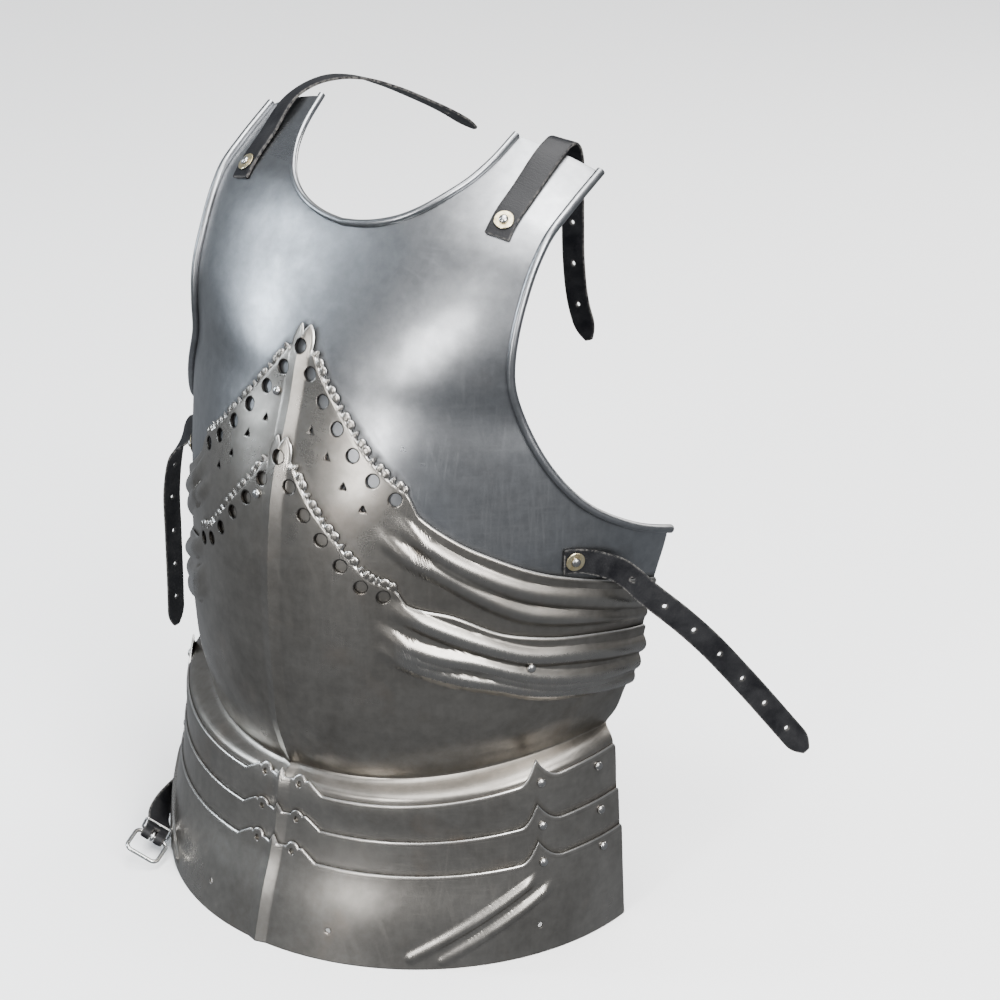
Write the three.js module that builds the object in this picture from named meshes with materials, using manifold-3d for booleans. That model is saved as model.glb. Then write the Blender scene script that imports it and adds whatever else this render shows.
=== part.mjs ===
// A Gothic breastplate: a chest plate under two fluted plackarts with pierced borders, a fauld of
// three lames, rivets, leather straps and a small buckle. Millimetres, front faces -Y, wearer's left
// is +X, Z is up, and the origin is the front centre of the bottom rim.

import * as THREE from 'three';
import { mergeVertices } from 'three/addons/utils/BufferGeometryUtils.js';
import Module from 'manifold-3d';

const wasm = await Module();
wasm.setup();

// Driving dimensions of the body
const shoulderHeight = 580;
const waistHeight = 131;
const chestHalfWidth = 206;
const chestDepth = 228;
const rimHalfWidth = 190.5;
const rimDepth = 196;

// Sheet metal
const plateThickness = 1.5;
const chestGap = 1.2;
const lameGap = 0.5;
const upperLap = 36;
const chestLap = 50;
const keelHeight = 2.4;
const neckRollRadius = 2.6;
const armRollRadius = 3.2;

// Pierced borders and crests
const borderHoleRadius = 4.7;
const crestHoleRadius = 2.3;
const crestHeight = 13;
const cuspHeight = 13.5;
const upperFluteHeight = 3.6;
const lowerFluteHeight = 4.2;
const fluteHalfWidth = 8;
const skirtFluteHeight = 2.4;
const skirtFluteHalfWidth = 4.4;

// Fauld lames: drop of each upper edge below the waist on the front centre line, and their overlap
const lameDrops = [13, 40, 64];
const lameOverlap = 15;
const lameSideRise = 3;
const flangeDrop = 33;

// Fastenings
const rivetHeadRadius = 3.3;
const rivetHeadHeight = 2.2;
const rivetShankRadius = 1.5;
const rivetClearance = 0.45;
const seatGap = 0.3;
const washerRadius = 7;
const washerThickness = 0.8;
const tassetHoleRadius = 2.2;

// Leather
const strapWidth = 18.5;
const strapThickness = 2.2;
const strapHoleRadius = 1.7;
const strapHolePitch = 30;
const shoulderStrapLength = 245;
const sideStrapLength = 262;

// Buckle
const buckleWidth = 30;
const buckleLength = 27;
const buckleWire = 3.2;
const buckleCorner = 5;
const keeperWire = 2;
const tongueWire = 2.2;
const buckleClearance = 0.5;
const strapReturn = 17;

const torsoHeight = shoulderHeight - waistHeight;
const lameHeights = lameDrops.map((drop) => waistHeight - drop);
const degree = Math.PI / 180;
// Flat patterns are drawn on a sheet that wraps round the body at this radius
const wrapRadius = (chestHalfWidth + chestDepth * 0.83) / 2;

// Sections of the torso. Columns: height above the waist as a share of the torso height, front and
// side depth as shares of the chest depth, half width as a share of the chest half width, rise of
// the side ends as a share of the torso height, and how far the cheeks are pulled in.
const torsoSections = [
  [-0.055, 0.270, 0.850, 0.820, 0.060, 0.030],
  [0.000, 0.236, 0.866, 0.830, 0.055, 0.030],
  [0.042, 0.206, 0.904, 0.850, 0.038, 0.030],
  [0.087, 0.180, 0.912, 0.874, 0.027, 0.030],
  [0.156, 0.167, 0.943, 0.903, 0.011, 0.030],
  [0.238, 0.158, 0.969, 0.927, 0.000, 0.035],
  [0.318, 0.158, 0.996, 0.961, 0.000, 0.045],
  [0.396, 0.167, 1.004, 1.000, 0.000, 0.056],
  [0.477, 0.189, 1.004, 1.005, 0.000, 0.060],
  [0.563, 0.237, 0.991, 0.990, 0.000, 0.050],
  [0.628, 0.281, 0.982, 0.971, 0.000, 0.040],
  [0.688, 0.316, 0.952, 0.961, -0.009, 0.020],
  [0.751, 0.373, 0.921, 0.961, -0.022, 0.000],
  [0.822, 0.452, 0.904, 0.961, -0.040, 0.000],
  [0.889, 0.544, 0.912, 0.961, -0.058, 0.000],
  [0.922, 0.605, 0.921, 0.961, -0.073, 0.000],
  [0.964, 0.715, 0.978, 0.961, -0.098, 0.000],
  [1.025, 0.886, 1.132, 0.961, -0.127, 0.000],
];

// Sections of the skirt below the waist. Columns: height as a share of the waist height, front and
// side depth as shares of the rim depth, half width as a share of the rim half width, rise of the
// side ends as a share of the waist height.
const skirtSections = [
  [0.000, 0.0444, 1.000, 1.000, 0.000],
  [0.267, 0.0944, 0.985, 1.000, 0.023],
  [0.519, 0.1556, 0.985, 0.990, 0.061],
  [0.725, 0.1837, 0.980, 0.984, 0.115],
  [0.916, 0.1939, 0.975, 0.979, 0.183],
  [1.031, 0.2245, 0.970, 0.968, 0.229],
  [1.145, 0.2653, 0.970, 0.955, 0.260],
];

// A smooth curve through the rows of a table, by the first column: cubic pieces whose slopes at
// each row are those of a parabola through it and its neighbours.
function tableCurve(rows) {
  const slopes = rows.map((row, i) => row.map((value, c) => {
    if (c === 0) return 1;
    const before = rows[Math.max(i - 1, 0)];
    const after = rows[Math.min(i + 1, rows.length - 1)];
    const run1 = row[0] - before[0];
    const run2 = after[0] - row[0];
    const slope1 = run1 > 0 ? (value - before[c]) / run1 : 0;
    const slope2 = run2 > 0 ? (after[c] - value) / run2 : 0;
    if (run1 === 0) return slope2;
    if (run2 === 0) return slope1;
    return (slope1 * run2 + slope2 * run1) / (run1 + run2);
  }));
  return (x) => {
    let i = 0;
    while (i < rows.length - 2 && x > rows[i + 1][0]) i += 1;
    const run = rows[i + 1][0] - rows[i][0];
    const t = (x - rows[i][0]) / run;
    const inside = Math.min(Math.max(t, 0), 1);
    return rows[i].map((start, c) => {
      const end = rows[i + 1][c];
      const m0 = slopes[i][c] * run;
      const m1 = slopes[i + 1][c] * run;
      const t2 = inside * inside;
      const t3 = t2 * inside;
      const value = start * (2 * t3 - 3 * t2 + 1) + m0 * (t3 - 2 * t2 + inside)
        + end * (3 * t2 - 2 * t3) + m1 * (t3 - t2);
      const beyond = t < 0 ? m0 * t : (t > 1 ? m1 * (t - 1) : 0);
      return value + beyond;
    });
  };
}

const torsoCurve = tableCurve(torsoSections);
const skirtCurve = tableCurve(skirtSections);

// The middle surface of the torso. Turn is in degrees, 0 at the front centre line and 90 at the
// wearer's left side. Height is read on the centre line, and the side ends rise above it.
function torsoPoint(turn, height) {
  const [, front, side, half, rise, cheek] = torsoCurve((height - waistHeight) / torsoHeight);
  const s = Math.sin(turn * degree);
  const c = Math.cos(turn * degree);
  const pull = 1 - cheek * Math.sin(2 * turn * degree) ** 2;
  return new THREE.Vector3(
    chestHalfWidth * half * s * pull,
    chestDepth * (front + (side - front) * (1 - c * pull)),
    height + torsoHeight * rise * Math.abs(s) ** 3,
  );
}

function torsoNormal(turn, height) {
  const step = 0.05;
  const along = torsoPoint(turn + step, height).sub(torsoPoint(turn - step, height));
  const up = torsoPoint(turn, height + step).sub(torsoPoint(turn, height - step));
  return along.cross(up).normalize();
}

// The skirt is a drum that widens downwards, and its plates are set off from each other level
function skirtPoint(turn, height) {
  const [, front, side, half, rise] = skirtCurve(height / waistHeight);
  const s = Math.sin(turn * degree);
  const c = Math.cos(turn * degree);
  return new THREE.Vector3(
    rimHalfWidth * half * s,
    rimDepth * (front + (side - front) * (1 - c)),
    height + waistHeight * rise * Math.abs(s) ** 3,
  );
}

function skirtNormal(turn, height) {
  const step = 0.05;
  const along = skirtPoint(turn + step, height).sub(skirtPoint(turn - step, height));
  return new THREE.Vector3(along.y, -along.x, 0).normalize();
}

function skirtFacing(turn, height) {
  const step = 0.05;
  const along = skirtPoint(turn + step, height).sub(skirtPoint(turn - step, height));
  const up = skirtPoint(turn, height + step).sub(skirtPoint(turn, height - step));
  return along.cross(up).normalize();
}

// Plates are offset along normal, and fastenings stand square to the metal along facing
const torso = { point: torsoPoint, normal: torsoNormal, facing: torsoNormal };
const skirt = { point: skirtPoint, normal: skirtNormal, facing: skirtFacing };

function onForm(form, turn, height, offset) {
  return form.point(turn, height).addScaledVector(form.normal(turn, height), offset);
}

// Offsets of the plates from the middle surfaces: inner face, outer face
function layer(start) {
  return { inner: start, outer: start + plateThickness };
}
const chestLayer = layer(-plateThickness);
const upperLayer = layer(chestLayer.outer + chestGap);
const lowerLayer = layer(upperLayer.outer + chestGap);
const flangeLayer = layer(0);
const lameLayers = [1, 2, 3].map((n) => layer(n * (plateThickness + lameGap)));

function smooth(x) {
  const t = Math.min(Math.max(x, 0), 1);
  return t * t * (3 - 2 * t);
}

// The standing centre ridge, a low roof over the centre line
const keelTurn = 2.6;
function keel(turn) {
  return keelHeight * Math.max(0, 1 - Math.abs(turn) / keelTurn);
}

// Lines across the plackarts. Columns: turn, height as a share of the shoulder height.
function heightLine(rows) {
  const curve = tableCurve(rows);
  return (turn) => curve(Math.abs(turn))[1] * shoulderHeight;
}
const upperHoleTurns = [3.5, 7.3, 11.4, 15.6, 20.4, 25.4];
const upperHoles = heightLine([
  [0, 0.771], [3.5, 0.743], [11.4, 0.687], [20.4, 0.633], [25.4, 0.613], [30, 0.600]]);
const upperEdge = heightLine([[0, 0.786], [3.5, 0.757], [11.4, 0.701], [20.4, 0.645], [25.4, 0.624],
  [29, 0.602], [38.5, 0.563], [47.7, 0.538], [57, 0.517], [67, 0.501], [84, 0.475], [90, 0.465]]);
const upperFlutes = [
  { start: 24.5, line: heightLine([
    [20, 0.600], [26.6, 0.584], [33, 0.555], [39, 0.533], [46, 0.513], [54, 0.494], [70, 0.470], [90, 0.440]]) },
  { start: 21.0, line: heightLine([
    [18, 0.582], [23, 0.566], [27, 0.549], [36, 0.521], [47, 0.485], [54, 0.466], [70, 0.442], [90, 0.407]]) },
];
const lowerHoleTurns = [3.4, 7.2, 11.2, 15.5, 20.0, 24.8];
const lowerHoles = heightLine([
  [0, 0.642], [3.4, 0.611], [7.2, 0.582], [11.2, 0.556], [15.5, 0.527], [20, 0.503], [24.6, 0.493], [30, 0.48]]);
const lowerEdge = heightLine([[0, 0.657], [3.4, 0.626], [7.2, 0.597], [11.2, 0.571], [15.5, 0.542], [20, 0.517],
  [24.6, 0.503], [29, 0.485], [40, 0.467], [51, 0.441], [60, 0.430], [76, 0.418], [90, 0.402]]);
const lowerFlutes = [
  { start: 24.5, line: heightLine([
    [22, 0.486], [28.7, 0.472], [35, 0.455], [42, 0.438], [48, 0.425], [56, 0.409], [71, 0.395], [90, 0.372]]) },
  { start: 22.5, line: heightLine([
    [18, 0.460], [25, 0.445], [31, 0.426], [37, 0.414], [46, 0.402], [54, 0.386], [61, 0.372], [72, 0.357],
    [90, 0.343]]) },
  { start: 22.5, line: heightLine([
    [18, 0.436], [25, 0.423], [33, 0.402], [42, 0.384], [52, 0.369], [59, 0.355], [73, 0.337], [90, 0.318]]) },
];

// The height of the flutes at one place: rounded ribs that rise out of the border's end
function fluteRelief(flutes, height, turn, at) {
  const across = Math.abs(turn);
  return flutes.reduce((sum, flute) => {
    const distance = Math.abs(at - flute.line(turn)) / fluteHalfWidth;
    const rib = distance < 1 ? Math.cos(distance * Math.PI / 2) ** 2 : 0;
    return sum + height * rib * smooth((across - flute.start) / 9);
  }, 0);
}

// The upper plackart runs flat under the lower one, and its flutes die out before they reach it
function upperRelief(turn, height) {
  const clear = smooth((height - lowerEdge(turn) - fluteHalfWidth * 0.5) / fluteHalfWidth);
  return keel(turn) + clear * fluteRelief(upperFlutes, upperFluteHeight, turn, height);
}
function lowerRelief(turn, height) {
  return keel(turn) + fluteRelief(lowerFlutes, lowerFluteHeight, turn, height);
}

// Turns, in degrees from the front, of the lengthwise mesh lines that all plates share. The rivets
// sit on such lines.
const flankRivetTurn = 58.5;
const lameRivetTurns = [64.6, 82.4];
const sideTurn = 90;
const halfTurns = [
  keelTurn, 9, 15, 21, 30, 39.5, 49, flankRivetTurn, lameRivetTurns[0], 73.5, lameRivetTurns[1], sideTurn,
];
const turns = [...halfTurns.map((t) => -t).reverse(), 0, ...halfTurns];

// In front of this turn the mesh lines follow the pierced border, and behind it the flutes
const borderEndTurn = 25;
const atBorder = (turn) => Math.abs(turn) < borderEndTurn;

// A row of places on a form: key orders the places along the row
function row(form, heightAt, relief, list = turns) {
  return list.map((turn) => ({ form, turn, height: heightAt(turn), key: turn, relief }));
}

// Joins two chains of vertex numbers with triangles, always stepping along the chain that lags.
// The chains run the same way and their keys rise.
function stitch(chainA, keysA, chainB, keysB, triangles, flip) {
  let a = 0;
  let b = 0;
  const add = (p, q, r) => triangles.push(...(flip ? [p, r, q] : [p, q, r]));
  while (a < chainA.length - 1 || b < chainB.length - 1) {
    const nextA = a < chainA.length - 1 ? keysA[a + 1] : Infinity;
    const nextB = b < chainB.length - 1 ? keysB[b + 1] : Infinity;
    if (nextA <= nextB) {
      add(chainA[a], chainA[a + 1], chainB[b]);
      a += 1;
    } else {
      add(chainA[a], chainB[b + 1], chainB[b]);
      b += 1;
    }
  }
}

// A formed sheet: rows from the bottom edge to the top edge, each running from the wearer's right
// to left. The two faces are the two offsets from the form. Places with a roll get a round bead
// turned outwards along the edge.
function formedSheet(rows, faces) {
  const positions = [];
  const triangles = [];
  const vertex = (v) => positions.push(v.x, v.y, v.z) / 3 - 1;
  const reliefAt = (p) => (p.relief ? p.relief(p.turn, p.height) : 0);
  const outerAt = (p) => p.rollBase ?? onForm(p.form, p.turn, p.height, (p.faces ?? faces).outer + reliefAt(p));
  const innerAt = (p) => onForm(p.form, p.turn, p.height, (p.faces ?? faces).inner + reliefAt(p));
  const grid = rows.map((places) => places.map((p) => ({
    place: p, key: p.key, outer: vertex(outerAt(p)), inner: vertex(innerAt(p)),
  })));
  for (let i = 0; i < grid.length - 1; i += 1) {
    const low = grid[i];
    const high = grid[i + 1];
    const lowKeys = low.map((g) => g.key);
    const highKeys = high.map((g) => g.key);
    stitch(low.map((g) => g.outer), lowKeys, high.map((g) => g.outer), highKeys, triangles, false);
    stitch(low.map((g) => g.inner), lowKeys, high.map((g) => g.inner), highKeys, triangles, true);
  }
  const loop = [
    ...grid[0].slice(0, -1),
    ...grid.slice(0, -1).map((line) => line[line.length - 1]),
    ...grid[grid.length - 1].slice(1).reverse(),
    ...grid.slice(1).map((line) => line[0]).reverse(),
  ];
  const chains = loop.map((g) => [g.outer, ...(g.place.bead ?? []).map(vertex), g.inner]);
  chains.forEach((chain, i) => {
    const next = chains[(i + 1) % chains.length];
    const keys = chain.map((_, k) => k / (chain.length - 1));
    const nextKeys = next.map((_, k) => k / (next.length - 1));
    stitch(next, nextKeys, chain, keys, triangles, true);
  });
  return solidFrom(positions, triangles);
}

function solidFrom(positions, triangles) {
  return new wasm.Manifold(new wasm.Mesh({
    numProp: 3,
    vertProperties: new Float32Array(positions),
    triVerts: new Uint32Array(triangles),
  }));
}

// A closed body from triangles that all turn the same way, with its faces turned outwards
function outward(positions, triangles) {
  const solid = solidFrom(positions, triangles);
  if (solid.volume() > 0) return solid;
  return solidFrom(positions, triangles.map((_, i, all) => all[i - (i % 3) + [0, 2, 1][i % 3]]));
}

function solidOf(geometry) {
  const bare = geometry.index ? geometry.clone() : geometry;
  bare.deleteAttribute('normal');
  bare.deleteAttribute('uv');
  const merged = mergeVertices(bare, 1e-4);
  return solidFrom(merged.attributes.position.array, merged.index.array);
}

function geometryOf(solid) {
  const mesh = solid.getMesh();
  const geometry = new THREE.BufferGeometry();
  geometry.setAttribute('position', new THREE.BufferAttribute(mesh.vertProperties, 3));
  geometry.setIndex(new THREE.BufferAttribute(mesh.triVerts, 1));
  geometry.computeVertexNormals();
  return geometry;
}

// A straight punch through a plate, square to its form
function punch(form, turn, height, radius, { sides = 8, spin = 0, offset = 0 } = {}) {
  const reach = 24;
  const geometry = new THREE.CylinderGeometry(radius, radius, reach, sides);
  geometry.rotateY(spin);
  return solidOf(standOn(geometry, form, turn, height, offset));
}

// The hole for a rivet's shank, on the same axis as the rivet
const shankHole = rivetShankRadius + rivetClearance;
function rivetPunch(form, r) {
  return punch(form, r.turn, r.height, shankHole, { sides: 6, offset: (r.head + r.tail) / 2 });
}

// Turns a shape made along Y to stand on a form, a stated offset above it
function standOn(geometry, form, turn, height, offset) {
  const facing = form.facing(turn, height);
  geometry.applyQuaternion(new THREE.Quaternion().setFromUnitVectors(new THREE.Vector3(0, 1, 0), facing));
  const foot = onForm(form, turn, height, offset);
  geometry.translate(foot.x, foot.y, foot.z);
  return geometry;
}

function cutAll(body, punches) {
  return punches.reduce((solid, tool) => solid.subtract(tool), body);
}

// The scalloped contour of a border, run through its holes. Each hole has two round lobes outside
// it, and a small tooth stands between two holes. Columns: place along the pitch, and distance from
// the hole's centre as a share of the hole radius.
const borderMotif = [[-0.50, 1.75], [-0.38, 1.35], [-0.20, 2.00], [0.00, 1.65], [0.20, 2.00], [0.38, 1.35]];
const apexMotif = [
  [-1.9, 0.2], [-1.5, 1.2], [-0.9, 1.6], [-0.75, 1.15], [0, 2.75], [0.75, 1.15], [0.9, 1.6], [1.5, 1.2], [1.9, 0.2],
];

function borderContour(holeTurns, holeLine, edgeLine, tail) {
  const flat = (turn) => [turn * degree * wrapRadius, holeLine(turn)];
  const side = [];
  holeTurns.forEach((turn, i) => {
    const before = flat(i === 0 ? 0 : holeTurns[i - 1]);
    const after = flat(i === holeTurns.length - 1 ? turn + 4.4 : holeTurns[i + 1]);
    const here = flat(turn);
    const run = [(after[0] - before[0]) / 2, (after[1] - before[1]) / 2];
    const pitch = Math.hypot(run[0], run[1]);
    const out = [-run[1] / pitch, run[0] / pitch];
    const motif = i === 0 ? borderMotif.slice(2) : borderMotif;
    motif.forEach(([along, away]) => {
      side.push([
        here[0] + run[0] * along + out[0] * away * borderHoleRadius,
        here[1] + run[1] * along + out[1] * away * borderHoleRadius,
        turn + along * 4,
      ]);
    });
  });
  const apex = apexMotif.map(([x, y]) => [x * borderHoleRadius, holeLine(0) + y * borderHoleRadius, x * 0.7]);
  const places = [
    ...side.map(([a, h, key]) => [-a, h, -key]).reverse(),
    ...apex,
    ...side,
  ].map(([a, height, key]) => ({ turn: a / (degree * wrapRadius), height, key }));
  const ends = (sign) => tail.map((turn) => ({ turn: sign * turn, height: edgeLine(turn), key: sign * turn }));
  return [...ends(-1).reverse(), ...places, ...ends(1)];
}

// The mesh line just outside the holes, which keeps the fine contour clear of them
const borderSlope = 1.5;
const aboveHoles = (holeLine) => (turn) => holeLine(turn) + borderHoleRadius * 1.06 * borderSlope;

// Holes of a border: one at the apex and one at each step down both sides
function borderPunches(holeTurns, holeLine) {
  return [0, ...holeTurns, ...holeTurns.map((t) => -t)]
    .map((turn) => punch(torso, turn, holeLine(turn), borderHoleRadius));
}

const steelColours = { bright: 0x9b9c9d, worn: 0x8c8b89, dark: 0x7b7a78 };
function steel(name, colour) {
  return new THREE.MeshStandardMaterial({ name, color: colour, roughness: 0.28, metalness: 0.95 });
}
function leather(name) {
  return new THREE.MeshStandardMaterial({ name, color: 0x2b2b2c, roughness: 0.6, metalness: 0 });
}
function brass(name) {
  return new THREE.MeshStandardMaterial({ name, color: 0xb9a96b, roughness: 0.35, metalness: 0.9 });
}

const part = new THREE.Group();
part.name = 'breastplate';
function addMesh(name, solid, material) {
  const mesh = new THREE.Mesh(geometryOf(solid), material);
  mesh.name = name;
  part.add(mesh);
}

// Where the rivets go: name, form, turn, height, the outer face that carries the head and the
// inner face that carries the tail
const rivetShare = (share) => share * shoulderHeight;
const onFlute = lowerLayer.outer + lowerFluteHeight * 0.45;
const centreTurn = -keelTurn * 1.6;
const chestRivets = [
  { name: 'rivet_upper_centre', turn: centreTurn, height: rivetShare(0.714), head: upperLayer.outer },
  { name: 'rivet_lower_centre', turn: centreTurn, height: rivetShare(0.592), head: lowerLayer.outer },
  { name: 'rivet_flank_left', turn: flankRivetTurn, height: rivetShare(0.391), head: onFlute },
  { name: 'rivet_flank_right', turn: -flankRivetTurn, height: rivetShare(0.391), head: onFlute },
].map((place) => ({ ...place, tail: chestLayer.inner }));
const strapLift = 2 * seatGap;
const washerBase = strapLift + strapThickness + seatGap;
const strapSeats = { head: washerBase + washerThickness, tail: chestLayer.inner - 2 * seatGap };
const shoulderRivet = { turn: 35.9, height: 0.942 * shoulderHeight, ...strapSeats };
const sideRivet = { turn: lameRivetTurns[0], height: 0.5275 * shoulderHeight, ...strapSeats };
const mirrorPlace = (place) => ({ ...place, turn: -place.turn });
const lameRivetDrops = [1.5, 7];

// Chest plate: a patch between the hem, the side edge with the armhole, the shoulder edge with the
// neck, and the centre line. Columns of both edge tables: turn, height as a share of the shoulder
// height.
const chestHem = (turn) => lowerEdge(turn) - chestLap;
const armhole = [[90, 0.533], [77, 0.561], [66, 0.598], [56.2, 0.660], [50.2, 0.722], [47.1, 0.795],
  [47.0, 0.870], [47.8, 0.942], [49.0, 1.0155]];
const neckline = [[0, 0.9065], [4.6, 0.9090], [8.9, 0.9140], [13.2, 0.9225], [17.2, 0.9355], [20.5, 0.9510],
  [23.4, 0.9690], [25.3, 0.9900], [26.4, 1.0155]];

function chestRows() {
  const lineShares = [0, 0.12, 0.24];
  const armShares = armhole.map((_, i) => 0.30 + 0.70 * i / (armhole.length - 1));
  const levels = [...lineShares.map((s) => s / 0.30), ...armhole.map(() => 1)];
  const shares = [...lineShares, ...armShares];
  const sidePlace = (i) => (i < lineShares.length
    ? [sideTurn, chestHem(sideTurn) + (armhole[0][1] * shoulderHeight - chestHem(sideTurn)) * levels[i]]
    : [armhole[i - lineShares.length][0], armhole[i - lineShares.length][1] * shoulderHeight]);
  const neckCount = neckline.length - 1;
  const shoulderTop = armhole[armhole.length - 1];
  const count = halfTurns.length;
  const topPlace = (j) => {
    if (j <= neckCount) return [neckline[j][0], neckline[j][1] * shoulderHeight];
    const t = (j - neckCount) / (count - neckCount);
    const end = neckline[neckCount];
    return [0, 1].map((k) => (end[k] + (shoulderTop[k] - end[k]) * t) * (k ? shoulderHeight : 1));
  };
  const hemTurns = [0, ...halfTurns];
  const centreTop = neckline[0][1] * shoulderHeight;
  return shares.map((v, i) => {
    const half = hemTurns.map((hemTurn, j) => {
      const u = hemTurn / sideTurn;
      const hem = [hemTurn, chestHem(hemTurn)];
      const top = topPlace(j);
      const centre = [0, chestHem(0) + (centreTop - chestHem(0)) * v];
      const side = sidePlace(i);
      const corners = [
        u * ((1 - v) * sideTurn + v * shoulderTop[0]),
        (1 - u) * ((1 - v) * chestHem(0) + v * centreTop)
          + u * ((1 - v) * chestHem(sideTurn) + v * shoulderTop[1] * shoulderHeight),
      ];
      const blend = (k) => (1 - v) * hem[k] + v * top[k] + (1 - u) * centre[k] + u * side[k] - corners[k];
      return { form: torso, turn: blend(0), height: blend(1), key: j };
    });
    const mirrored = half.slice(1).reverse().map((p) => ({ ...p, turn: -p.turn, key: -p.key }));
    return [...mirrored, ...half];
  });
}

// A rolled edge: a round bead outside the sheet, tangent to its inner face. The outer face ends
// where it meets the bead.
function addBead(place, edgeBefore, edgeAfter, radius) {
  const normal = torso.normal(place.turn, place.height);
  const along = onForm(torso, edgeAfter.turn, edgeAfter.height, 0)
    .sub(onForm(torso, edgeBefore.turn, edgeBefore.height, 0));
  const out = along.cross(normal).normalize();
  const foot = onForm(torso, place.turn, place.height, chestLayer.inner);
  const centre = foot.clone().addScaledVector(normal, radius);
  const start = Math.acos((radius - plateThickness) / radius);
  const at = (angle) => centre.clone()
    .addScaledVector(normal, -Math.cos(angle) * radius)
    .addScaledVector(out, -Math.sin(angle) * radius);
  const steps = 5;
  const sweep = 2 * Math.PI - start;
  place.rollBase = at(start);
  place.bead = Array.from({ length: steps }, (_, k) => at(start + sweep * (k + 1) / (steps + 1)));
}

function chestPlate() {
  const rows = chestRows();
  const top = rows[rows.length - 1];
  const neckCount = neckline.length - 1;
  const middle = (top.length - 1) / 2;
  for (let j = middle - neckCount; j <= middle + neckCount; j += 1) {
    const before = top[Math.max(j - 1, middle - neckCount)];
    const after = top[Math.min(j + 1, middle + neckCount)];
    addBead(top[j], after, before, neckRollRadius);
  }
  const armStart = rows.length - armhole.length;
  for (let i = armStart; i < rows.length; i += 1) {
    const before = rows[Math.max(i - 1, armStart)];
    const after = rows[Math.min(i + 1, rows.length - 1)];
    const last = before.length - 1;
    addBead(rows[i][last], before[last], after[last], armRollRadius);
    addBead(rows[i][0], after[0], before[0], armRollRadius);
  }
  return formedSheet(rows, chestLayer);
}

const chestPunches = chestRivets.map((r) => rivetPunch(torso, r));
const strapPunches = [shoulderRivet, sideRivet]
  .flatMap((place) => [rivetPunch(torso, place), rivetPunch(torso, mirrorPlace(place))]);
addMesh('breastplate_main', cutAll(chestPlate(), [...chestPunches, ...strapPunches]),
  steel('chest_steel', steelColours.bright));

// Upper plackart
const tailTurns = halfTurns.filter((turn) => turn > 28);
const upperHem = (turn) => lowerEdge(turn) - upperLap;
const between = (line1, line2, share) => (turn) => line1(turn) * (1 - share) + line2(turn) * share;
const below = (line, drop) => (turn) => line(turn) - drop;
const flat = (height) => () => height;

function upperPlackart() {
  const contour = borderContour(upperHoleTurns, upperHoles, upperEdge, tailTurns)
    .map((p) => ({ form: torso, relief: upperRelief, ...p }));
  const [fluteA, fluteB] = upperFlutes.map((f) => f.line);
  const inward = (turn) => (atBorder(turn) ? upperHoles(turn) - borderHoleRadius * 2.4 : fluteA(turn));
  const second = (turn) => (atBorder(turn) ? inward(turn) - fluteHalfWidth : between(fluteA, fluteB, 0.5)(turn));
  const third = (turn) => (atBorder(turn) ? second(turn) - fluteHalfWidth * 2 : fluteB(turn));
  const outermost = (turn) => (atBorder(turn) ? aboveHoles(upperHoles) : between(fluteA, upperEdge, 0.5))(turn);
  const fourth = (turn) => Math.max(third(turn) - fluteHalfWidth, lowerEdge(turn) + fluteHalfWidth * 0.4);
  const rows = [
    row(torso, upperHem, upperRelief),
    row(torso, between(upperHem, fourth, 0.35), upperRelief),
    row(torso, between(upperHem, fourth, 0.7), upperRelief),
    row(torso, fourth, upperRelief),
    row(torso, third, upperRelief),
    row(torso, second, upperRelief),
    row(torso, inward, upperRelief),
    row(torso, outermost, upperRelief),
    contour,
  ];
  return formedSheet(rows, upperLayer);
}

// The small three-cornered piercings inside the upper border
const trianglePlaces = [[5.8, 0.679], [10.2, 0.653], [14.5, 0.622], [19.0, 0.598]];
const triangleRadius = 3.4;
const trianglePunches = trianglePlaces.flatMap(([turn, share]) => [-1, 1]
  .map((sign) => punch(torso, sign * turn, share * shoulderHeight, triangleRadius, { sides: 3, spin: sign * 0.5 })));
const upperPunches = [...borderPunches(upperHoleTurns, upperHoles), ...trianglePunches, ...chestPunches];
addMesh('plackart_upper', cutAll(upperPlackart(), upperPunches), steel('upper_steel', steelColours.worn));

// Lower plackart, whose belly turns out again below the waist into a flange under the first lame
function lowerPlackart() {
  const contour = borderContour(lowerHoleTurns, lowerHoles, lowerEdge, tailTurns)
    .map((p) => ({ form: torso, relief: lowerRelief, ...p }));
  const [fluteA, fluteB, fluteC] = lowerFlutes.map((f) => f.line);
  const first = (turn) => (atBorder(turn) ? lowerHoles(turn) - borderHoleRadius * 2.4 : fluteA(turn));
  const outermost = (turn) => (atBorder(turn) ? aboveHoles(lowerHoles) : between(fluteA, lowerEdge, 0.5))(turn);
  const belly = flat(waistHeight + torsoHeight * 0.092);
  const flank = (line, share) => (turn) => (atBorder(turn) ? between(first, belly, share) : line)(turn);
  const keelOnly = (turn) => keel(turn);
  const rows = [
    ...[waistHeight - flangeDrop, waistHeight * 0.85, waistHeight * 0.93]
      .map((height) => row(skirt, flat(height), keelOnly).map((p) => ({ ...p, faces: flangeLayer }))),
    row(torso, flat(waistHeight + torsoHeight * 0.006), keelOnly),
    row(torso, flat(waistHeight + torsoHeight * 0.042), keelOnly),
    row(torso, belly, lowerRelief),
    row(torso, flank(below(fluteC, fluteHalfWidth * 1.1), 0.80), lowerRelief),
    row(torso, flank(fluteC, 0.62), lowerRelief),
    row(torso, flank(between(fluteB, fluteC, 0.5), 0.46), lowerRelief),
    row(torso, flank(fluteB, 0.30), lowerRelief),
    row(torso, flank(between(fluteA, fluteB, 0.5), 0.14), lowerRelief),
    row(torso, first, lowerRelief),
    row(torso, outermost, lowerRelief),
    contour,
  ];
  return formedSheet(rows, lowerLayer);
}

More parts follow.
